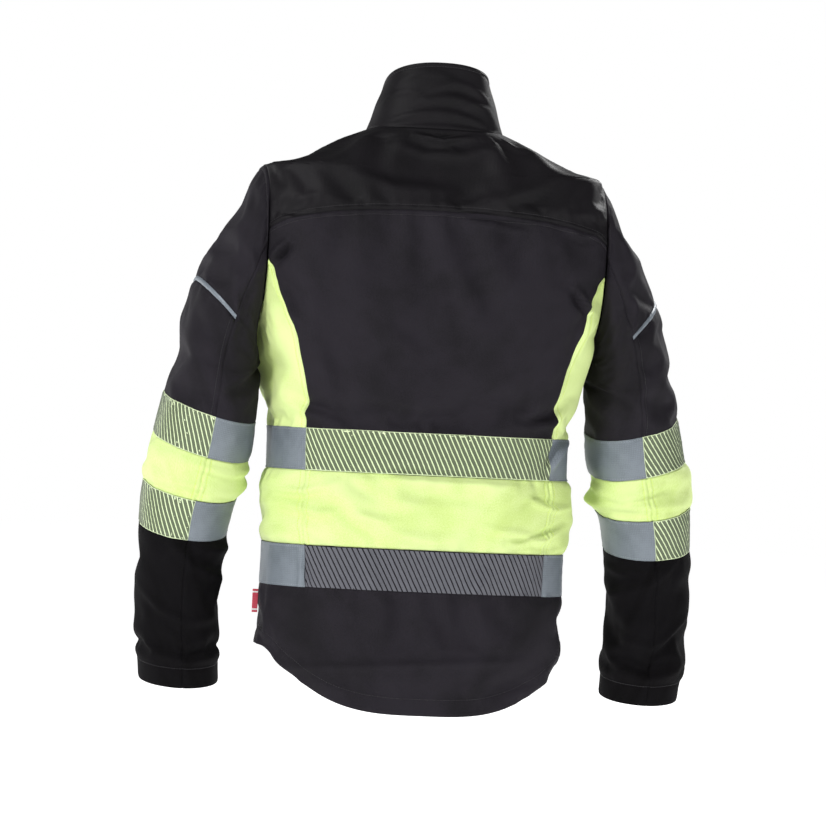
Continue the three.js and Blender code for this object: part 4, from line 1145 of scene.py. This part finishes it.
def box_bar(length, width, height, rows):
    """A slanting bar as a flat closed grid: X across it, Y along it, Z up."""
    points, faces = [], []
    profile = [(-width / 2, 0), (-width / 2 + 0.25, height), (width / 2 - 0.25, height), (width / 2, 0)]
    for r in range(rows + 1):
        y = length * (r / rows - 0.5)
        for across, up in profile:
            points.append((across * MM, y * MM, up * MM))
    for r in range(rows):
        for k in range(4):
            a, b = r * 4 + k, r * 4 + (k + 1) % 4
            faces.append((a, a + 4, b + 4, b))
    faces += [(0, 1, 2, 3), tuple(rows * 4 + k for k in (3, 2, 1, 0))]
    mesh = bpy.data.meshes.new("flat_bar")
    mesh.from_pydata(points, [], faces)
    return bpy.data.objects.new("flat_bar", mesh)


# %% The tree that repeats a shape along lines
def socket_in(tree, name, kind, value=None):
    made = tree.interface.new_socket(name, in_out="INPUT", socket_type=kind)
    if value is not None:
        made.default_value = value
    return made


def repeat_tree():
    tree = bpy.data.node_groups.new("repeat_along_lines", "GeometryNodeTree")
    for name, kind, value in (("Lines", "NodeSocketGeometry", None), ("Shape", "NodeSocketObject", None),
                              ("Pitch", "NodeSocketFloat", 0.003), ("Material", "NodeSocketMaterial", None)):
        socket_in(tree, name, kind, value)
    tree.interface.new_socket("Made", in_out="OUTPUT", socket_type="NodeSocketGeometry")
    given = add(tree, "NodeGroupInput").outputs
    curve = add(tree, "GeometryNodeMeshToCurve", {"Mesh": given["Lines"]})
    spaced = add(tree, "GeometryNodeResampleCurve", {"Curve": curve.outputs["Curve"], "Length": given["Pitch"]},
                 mode="LENGTH")
    shape = add(tree, "GeometryNodeObjectInfo", {"Object": given["Shape"]})
    outward = add(tree, "GeometryNodeInputNamedAttribute", {"Name": "outward"}, data_type="FLOAT_VECTOR")
    tangent = add(tree, "GeometryNodeInputTangent")
    lie = add(tree, "FunctionNodeAlignEulerToVector", {"Vector": tangent.outputs["Tangent"]}, axis="X")
    turn = add(tree, "FunctionNodeAlignEulerToVector", {"Rotation": lie.outputs["Rotation"],
                                                        "Vector": outward.outputs["Attribute"]},
               axis="Z", pivot_axis="X")
    placed = add(tree, "GeometryNodeInstanceOnPoints", {
        "Points": spaced.outputs["Curve"], "Instance": shape.outputs["Geometry"],
        "Rotation": turn.outputs["Rotation"]})
    real = add(tree, "GeometryNodeRealizeInstances", {"Geometry": placed.outputs["Instances"]})
    done = add(tree, "GeometryNodeSetMaterial", {"Geometry": real.outputs["Geometry"],
                                                 "Material": given["Material"]})
    add(tree, "NodeGroupOutput", {"Made": done.outputs["Geometry"]})
    return tree


def bar_tree():
    tree = bpy.data.node_groups.new("bars_on_a_strip", "GeometryNodeTree")
    for name, kind, value in (("Strip", "NodeSocketGeometry", None), ("Bar", "NodeSocketObject", None),
                              ("First", "NodeSocketVector", (0, 0, 0)), ("Pitch", "NodeSocketFloat", 0.006),
                              ("Count", "NodeSocketInt", 10), ("Slant", "NodeSocketFloat", 0.5),
                              ("Left edge", "NodeSocketFloat", 0.0), ("Right edge", "NodeSocketFloat", 1.0),
                              ("Material", "NodeSocketMaterial", None)):
        socket_in(tree, name, kind, value)
    tree.interface.new_socket("Made", in_out="OUTPUT", socket_type="NodeSocketGeometry")
    given = add(tree, "NodeGroupInput").outputs
    step = add(tree, "ShaderNodeCombineXYZ", {"X": given["Pitch"]})
    line = add(tree, "GeometryNodeMeshLine", {"Count": given["Count"], "Start Location": given["First"],
                                              "Offset": step.outputs["Vector"]})
    shape = add(tree, "GeometryNodeObjectInfo", {"Object": given["Bar"]})
    laid = add(tree, "GeometryNodeInstanceOnPoints", {"Points": line.outputs["Mesh"],
                                                      "Instance": shape.outputs["Geometry"]})
    real = add(tree, "GeometryNodeRealizeInstances", {"Geometry": laid.outputs["Instances"]})
    where = add(tree, "ShaderNodeSeparateXYZ", {"Vector": add(tree, "GeometryNodeInputPosition").outputs[0]})
    centre = add(tree, "ShaderNodeSeparateXYZ", {"Vector": given["First"]})
    off = add(tree, "ShaderNodeMath", {0: where.outputs["Y"], 1: centre.outputs["Y"]}, operation="SUBTRACT")
    slid = add(tree, "ShaderNodeMath", {0: off.outputs[0], 1: given["Slant"], 2: where.outputs["X"]},
               operation="MULTIPLY_ADD")
    kept = add(tree, "ShaderNodeClamp", {"Value": slid.outputs[0], "Min": given["Left edge"],
                                         "Max": given["Right edge"]})
    spot = add(tree, "ShaderNodeCombineXYZ", {"X": kept.outputs[0], "Y": where.outputs["Y"]})
    cloth = add(tree, "GeometryNodeInputNamedAttribute", {"Name": "cloth"}, data_type="FLOAT_VECTOR")
    outward = add(tree, "GeometryNodeInputNamedAttribute", {"Name": "outward"}, data_type="FLOAT_VECTOR")
    here = add(tree, "GeometryNodeInputPosition").outputs[0]
    found = [add(tree, "GeometryNodeSampleUVSurface", {
        "Mesh": given["Strip"], "Value": value, "Source UV Map": cloth.outputs["Attribute"],
        "Sample UV": spot.outputs["Vector"]}, data_type="FLOAT_VECTOR")
        for value in (here, outward.outputs["Attribute"])]
    lifted = add(tree, "ShaderNodeVectorMath", {0: found[1].outputs["Value"], "Scale": where.outputs["Z"]},
                 operation="SCALE")
    place = add(tree, "ShaderNodeVectorMath", {0: found[0].outputs["Value"], 1: lifted.outputs[0]},
                operation="ADD")
    wrapped = add(tree, "GeometryNodeSetPosition", {"Geometry": real.outputs["Geometry"],
                                                    "Position": place.outputs[0]})
    merged = add(tree, "GeometryNodeMergeByDistance", {"Geometry": wrapped.outputs["Geometry"],
                                                       "Distance": 0.00002})
    done = add(tree, "GeometryNodeSetMaterial", {"Geometry": merged.outputs["Geometry"],
                                                 "Material": given["Material"]})
    add(tree, "NodeGroupOutput", {"Made": done.outputs["Geometry"]})
    return tree


def run_tree(name, tree, start, values):
    """Runs a tree over a mesh and keeps the result as a plain mesh of its own."""
    source = bpy.data.objects.new(name + "_source", start)
    bpy.context.scene.collection.objects.link(source)
    modifier = source.modifiers.new("make", "NODES")
    modifier.node_group = tree
    for item in tree.interface.items_tree:
        if item.in_out == "INPUT" and item.name in values:
            modifier[item.identifier] = values[item.name]
    bpy.context.view_layer.update()
    graph = bpy.context.evaluated_depsgraph_get()
    mesh = bpy.data.meshes.new_from_object(source.evaluated_get(graph))
    bpy.data.objects.remove(source)
    mesh.name = name
    made = bpy.data.objects.new(name, mesh)
    bpy.context.scene.collection.objects.link(made)
    return made


repeat, bars = repeat_tree(), bar_tree()
print("trees:", repeat.name, "and", bars.name)


# %% Bars on the strips
def outer_skin(piece):
    """A copy of a piece's outer skin alone, so that each cloth coordinate is found once."""
    skin = bmesh.new()
    skin.from_mesh(piece.data)
    skin.faces.ensure_lookup_table()
    bmesh.ops.delete(skin, geom=skin.faces[outer_skins[piece.name]:], context="FACES")
    mesh = bpy.data.meshes.new("outer_skin")
    skin.to_mesh(mesh)
    skin.free()
    return mesh


bar_pitch, bar_width, bar_slant = 6.0, 4.5, 0.5


def way_round(name):
    """Which way a strip's bars lean: the same way in a view from behind, and mirrored in front."""
    if name.startswith("sleeve"):
        return 1 if name.endswith("left") else -1
    return 1 if name.endswith("right") else -1


for strip, name, row, group, nodes in bar_jobs:
    spots = np.empty(len(strip.data.loops) * 2)
    strip.data.uv_layers["cloth"].data.foreach_get("uv", spots)
    across, down = spots[0::2] / MM, spots[1::2] / MM
    outer = outer_skin(strip)
    low, high, top, bottom = 0.6, across.max() - 0.6, 0.7, down.max() - 0.7
    tall = bottom - top
    count = int((high - low + abs(bar_slant) * tall) / bar_pitch) + 1
    lean = bar_slant * way_round(strip.name)
    first = (low + high) / 2 - bar_pitch * (count - 1) / 2
    tint = "reflective_striped" if row == "upper" or group != "jacket_body" else "reflective_striped_dark"
    made = run_tree(name, bars, outer, {
        "Bar": box_bar(tall, bar_width, 0.35, 14), "First": (first * MM, (top + bottom) / 2 * MM, 0.0),
        "Pitch": bar_pitch * MM, "Count": count, "Slant": lean, "Left edge": low * MM,
        "Right edge": high * MM, "Material": finishes[tint]})
    if group == "jacket_body":
        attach(made, group)
    else:
        across_elbow(made, group)
    for node_name in nodes:
        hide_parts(node_name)
print("strips with bars:", len(bar_jobs))

# %% [markdown]
# ## Zips and small trim
# A moulded zip is two woven tapes with a tooth every two and a half millimetres, one row set half a
# step on from the other. The metal parts keep the shapes of the rigid design, with their edges rounded.
# The tag and the hanger loop are narrow woven ribbon.

# %% Helpers for trim
def refined(node_name, name, body_name, slot, round_edges):
    """A copy of a rigid part with its edges rounded."""
    skin = bmesh.new()
    skin.from_mesh(bpy.data.objects[node_name].data)
    bmesh.ops.remove_doubles(skin, verts=skin.verts, dist=1e-6)
    bmesh.ops.dissolve_limit(skin, angle_limit=0.03, verts=skin.verts, edges=skin.edges)
    mesh = bpy.data.meshes.new(name)
    skin.to_mesh(mesh)
    skin.free()
    places = mesh.uv_layers.new(name="cloth")
    for loop in mesh.loops:
        at = mesh.vertices[loop.vertex_index].co
        places.data[loop.index].uv = (at.x + at.y, at.z)
    for face in mesh.polygons:
        face.use_smooth = True
    piece = bpy.data.objects.new(name, mesh)
    bpy.context.scene.collection.objects.link(piece)
    bevel = piece.modifiers.new("rounded", "BEVEL")
    bevel.width, bevel.segments, bevel.limit_method, bevel.angle_limit = round_edges * MM, 3, "ANGLE", 0.6
    bevel.harden_normals = True
    place_piece(piece, body_name, slot, [node_name])
    return piece


def teeth(name, rows, body_name, nodes=()):
    """Two rows of teeth; each row is (points, outward)."""
    points, arrows, edges, start = [], [], [], 0
    for row, arrow in rows:
        points.append((row + neck_seam) * MM)
        arrows.append(arrow)
        edges += [(start + k, start + k + 1) for k in range(len(row) - 1)]
        start += len(row)
    lines = bpy.data.meshes.new(name + "_lines")
    lines.from_pydata(np.concatenate(points).tolist(), edges, [])
    arrow = lines.attributes.new("outward", "FLOAT_VECTOR", "POINT")
    arrow.data.foreach_set("vector", np.concatenate(arrows).ravel())
    made = run_tree(name, repeat, lines, {"Shape": tooth, "Pitch": 2.5 * MM, "Material": finishes["zip_teeth"]})
    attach(made, body_name)
    for node_name in nodes:
        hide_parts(node_name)
    return made


# %% The main zip
low_z, high_z = -side_hem + 16.0, 0.0
rows = []
for label, side, start in (("left", 1, 0.0), ("right", -1, 1.25)):
    p, q = np.meshgrid(np.linspace(0, 1, 9), np.linspace(0, 1, 160), indexing="ij")
    z_now = mix(high_z, low_z, q)
    place = np.stack([side * mix(0.5, 11, p), front_y(z_now) + 1.6 + 0.9 * smooth(0.2, 0.5, p), z_now], -1)
    out = np.broadcast_to(np.array([0.0, -1.0, 0.05]), place.shape)
    half_tape = grid_mesh(f"zip_tape_{label}", place, place + [0, 0.8, 0], p * 11, q * 610, out)
    place_piece(half_tape, "jacket_body", "black_zip_tape", [f"zip_half_{label}"])
    z_row = np.linspace(high_z - 1 - start, low_z + 1, 120)
    row = np.stack([side * 1.75 + 0 * z_row, front_y(z_row) + 1.3, z_row], -1)
    rows.append((row, np.broadcast_to(np.array([0.0, -1.0, 0.05]), row.shape)))
teeth("main_zip_teeth", rows, "jacket_body", ["zip_half_left", "zip_half_right"])
refined("zip_retainer_box", "zip_box", "jacket_body", "zip_metal", 0.8)
refined("zip_guard", "zip_guard_cloth", "jacket_body", "black_softshell", 0.4)
refined("main_zip_slider", "main_slider_metal", "main_slider", "zip_metal", 0.35)
refined("main_zip_pull", "main_pull_metal", "main_pull", "zip_metal", 0.4)

# %% The hand pockets
for label, side in (("left", 1), ("right", -1)):
    def zip_place(p, q):
        drop = mix(pocket_top, pocket_bottom, q)
        turn = front_seam(drop)
        return side * (turn + mix(-zip_tape_half, zip_tape_half, p) / front_radius), drop

    def bag_place(p, q):
        drop = mix(pocket_top - 10, pocket_bottom + 6, q)
        return side * (front_seam(drop) + mix(0.0, bag_width, p) / side_radius), drop

    cloth_piece(f"pocket_zip_tape_{label}", where=zip_place, slot="black_zip_tape", lift=2.1, thick=0.8, dip=0.3,
                nodes=[f"hand_pocket_zip_{label}"], topstitched=("left", "right"), inset=1.8, **torso)
    cloth_piece(f"pocket_bag_cloth_{label}", where=bag_place, slot="black_zip_tape", lift=-3.0, thick=1.0,
                nodes=[f"hand_pocket_bag_{label}"], **torso)
    rows = []
    for off, start in ((-1.75, 0.0), (1.75, 0.006)):
        q = np.linspace(0.01 + start, 0.99, 60)
        drop = mix(pocket_top, pocket_bottom, q)
        turn = side * (front_seam(drop) + off / front_radius)
        rows.append((body.at(turn, drop, 2.5), body.read(body.out, turn, drop)))
    teeth(f"pocket_zip_teeth_{label}", rows, "jacket_body")
    refined(f"hand_pocket_slider_{label}", f"pocket_slider_metal_{label}", f"hand_slider_{label}", "zip_metal", 0.35)
    refined(f"hand_pocket_pull_{label}", f"pocket_pull_metal_{label}", f"hand_pull_{label}", "zip_metal", 0.4)

# %% The tag and the hanger loop
refined("hanger_loop", "hanger_ribbon", "jacket_body", "black_zip_tape", 0.25)
tag_top, tag_tall, tag_out = lower_tape + tape_width + 8, 28.0, 7.0
seam_point = body.at(np.array([quarter]), np.array([tag_top + 14.0]), 0.2)[0]
bend = np.linspace(-1, 1, 25)
p, q = np.meshgrid(bend, np.linspace(0, 1, 33), indexing="ij")
flat_run = tag_out - 1.0
x_tag = seam_point[0] + np.where(np.abs(p) < 0.25, flat_run + np.cos(p * 4 * quarter / 0.5 * 0.5) * 0.8,
                                 flat_run * (1 - np.abs(p)) / 0.75)
y_tag = seam_point[1] + 0.7 * np.clip(p * 4, -1, 1) * (1 + 0.15 * np.sin(q * whole))
place = np.stack([x_tag + 0.3, y_tag, -tag_top - tag_tall * q], -1)
out = np.stack([np.where(np.abs(p) < 0.25, np.cos(p * whole), 0), np.where(np.abs(p) < 0.25, np.sin(p * whole),
                                                                        np.sign(p)), 0 * p], -1)
out /= np.maximum(np.linalg.norm(out, axis=-1, keepdims=True), 1e-6)
tag = grid_mesh("side_tag_ribbon", place, place - out * 0.35, p * 7, q * 28, out)
place_piece(tag, "jacket_body", "red_tag", ["side_tag"])
tag.data.materials.append(finishes["white_tag"])
for face in tag.data.polygons:
    down = (-(face.center.z / MM - neck_seam[2]) - tag_top) / tag_tall
    face.material_index = 1 if 0.10 < down < 0.16 or 0.84 < down < 0.90 else 0
print("zips, tag and loop made")

# %% Stitches
stitch_pitch = 3.2
for (group, thread), rows in stitch_rows.items():
    points, arrows, edges, start = [], [], [], 0
    for row in rows:
        points.append((row[:, :3] + neck_seam + row[:, 3:] * 0.12) * MM)
        arrows.append(row[:, 3:])
        edges += [(start + k, start + k + 1) for k in range(len(row) - 1)]
        start += len(row)
    lines = bpy.data.meshes.new(f"stitch_lines_{group}")
    lines.from_pydata(np.concatenate(points).tolist(), edges, [])
    arrow = lines.attributes.new("outward", "FLOAT_VECTOR", "POINT")
    arrow.data.foreach_set("vector", np.concatenate(arrows).ravel())
    made = run_tree(f"{thread}_{group}", repeat, lines, {
        "Shape": stitch_bead, "Pitch": stitch_pitch * MM, "Material": finishes[thread]})
    if group in frame["bodies"]:
        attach(made, group)
    else:
        across_elbow(made, group)
    print(made.name, "stitch faces:", len(made.data.polygons))

# %% [markdown]
# ## Floor, light and camera
# A jacket catalogue view: a plain pale floor, a broad soft light from the camera's side, weaker ones
# round about so that every side can be looked at, and a long lens that keeps the sleeves straight.

# %% Floor and light
def lamp(name, place, aim, size, power):
    data = bpy.data.lights.new(name, "AREA")
    data.shape, data.size, data.energy = "DISK", size, power
    made = bpy.data.objects.new(name, data)
    made.location = place
    made.visible_camera = False
    made.rotation_euler = (Vector(aim) - Vector(place)).to_track_quat("-Z", "Y").to_euler()
    bpy.context.scene.collection.objects.link(made)


aim = Vector((0.007, -0.052, -0.358))
# place, width in metres and power in watts of each lamp
for lamp_name, lamp_place, lamp_size, power in (
        ("key", (2.3, 2.2, 1.7), 0.7, 98), ("fill", (-2.2, 3.0, -0.3), 1.8, 22),
        ("front", (-2.3, -2.4, 1.7), 0.7, 92), ("front_fill", (2.4, -2.6, -0.1), 2.0, 24)):
    lamp(lamp_name, lamp_place, aim, lamp_size, power)

floor_mesh = bpy.data.meshes.new("floor")
reach, floor_z = 14.0, -0.90
floor_mesh.from_pydata([(-reach, -reach, floor_z), (reach, -reach, floor_z), (reach, reach, floor_z),
                        (-reach, reach, floor_z)], [], [(0, 1, 2, 3)])
floor = bpy.data.objects.new("floor", floor_mesh)
bpy.context.scene.collection.objects.link(floor)
paper = bpy.data.materials.new("pale_paper")
paper.use_nodes = True
paper_sockets = paper.node_tree.nodes["Principled BSDF"].inputs
for socket, value in (("Base Color", colour("#f4f4f4")), ("Roughness", 0.9),
                      ("Emission Color", colour("#ffffff")), ("Emission Strength", 0.80)):
    paper_sockets[socket].default_value = value
floor_mesh.materials.append(paper)

world = bpy.data.worlds.new("studio")
world.use_nodes = True
room = world.node_tree
room.nodes.clear()
seen = add(room, "ShaderNodeLightPath").outputs["Is Camera Ray"]
soft_light = add(room, "ShaderNodeBackground", {"Color": colour("#f5f5f6"), "Strength": 0.24})
paper_white = add(room, "ShaderNodeBackground", {"Color": colour("#ffffff"), "Strength": 1.0})
both = add(room, "ShaderNodeMixShader", {0: seen, 1: soft_light.outputs[0], 2: paper_white.outputs[0]})
add(room, "ShaderNodeOutputWorld", {"Surface": both.outputs[0]})
bpy.context.scene.world = world
bpy.context.scene.view_settings.view_transform = "Standard"

# %% Camera
lens = bpy.data.cameras.new("camera")
lens.lens, lens.sensor_width = 200, 36
camera = bpy.data.objects.new("camera", lens)
turned, distance, roll = math.radians(170), 5.55, math.radians(2.8)
away = Vector((math.sin(turned), -math.cos(turned), 0))
camera.location = aim + away * distance
look = (-away).to_track_quat("-Z", "Y")
camera.rotation_mode = "QUATERNION"
camera.rotation_quaternion = look @ Matrix.Rotation(roll, 4, "Z").to_quaternion()
bpy.context.scene.collection.objects.link(camera)
bpy.context.scene.camera = camera

# %% Sheets and sizes
for piece, long_side, short_side, area in sheet_sizes:
    if short_side < 0.01:
        continue  # the piping is a trim, not a sheet
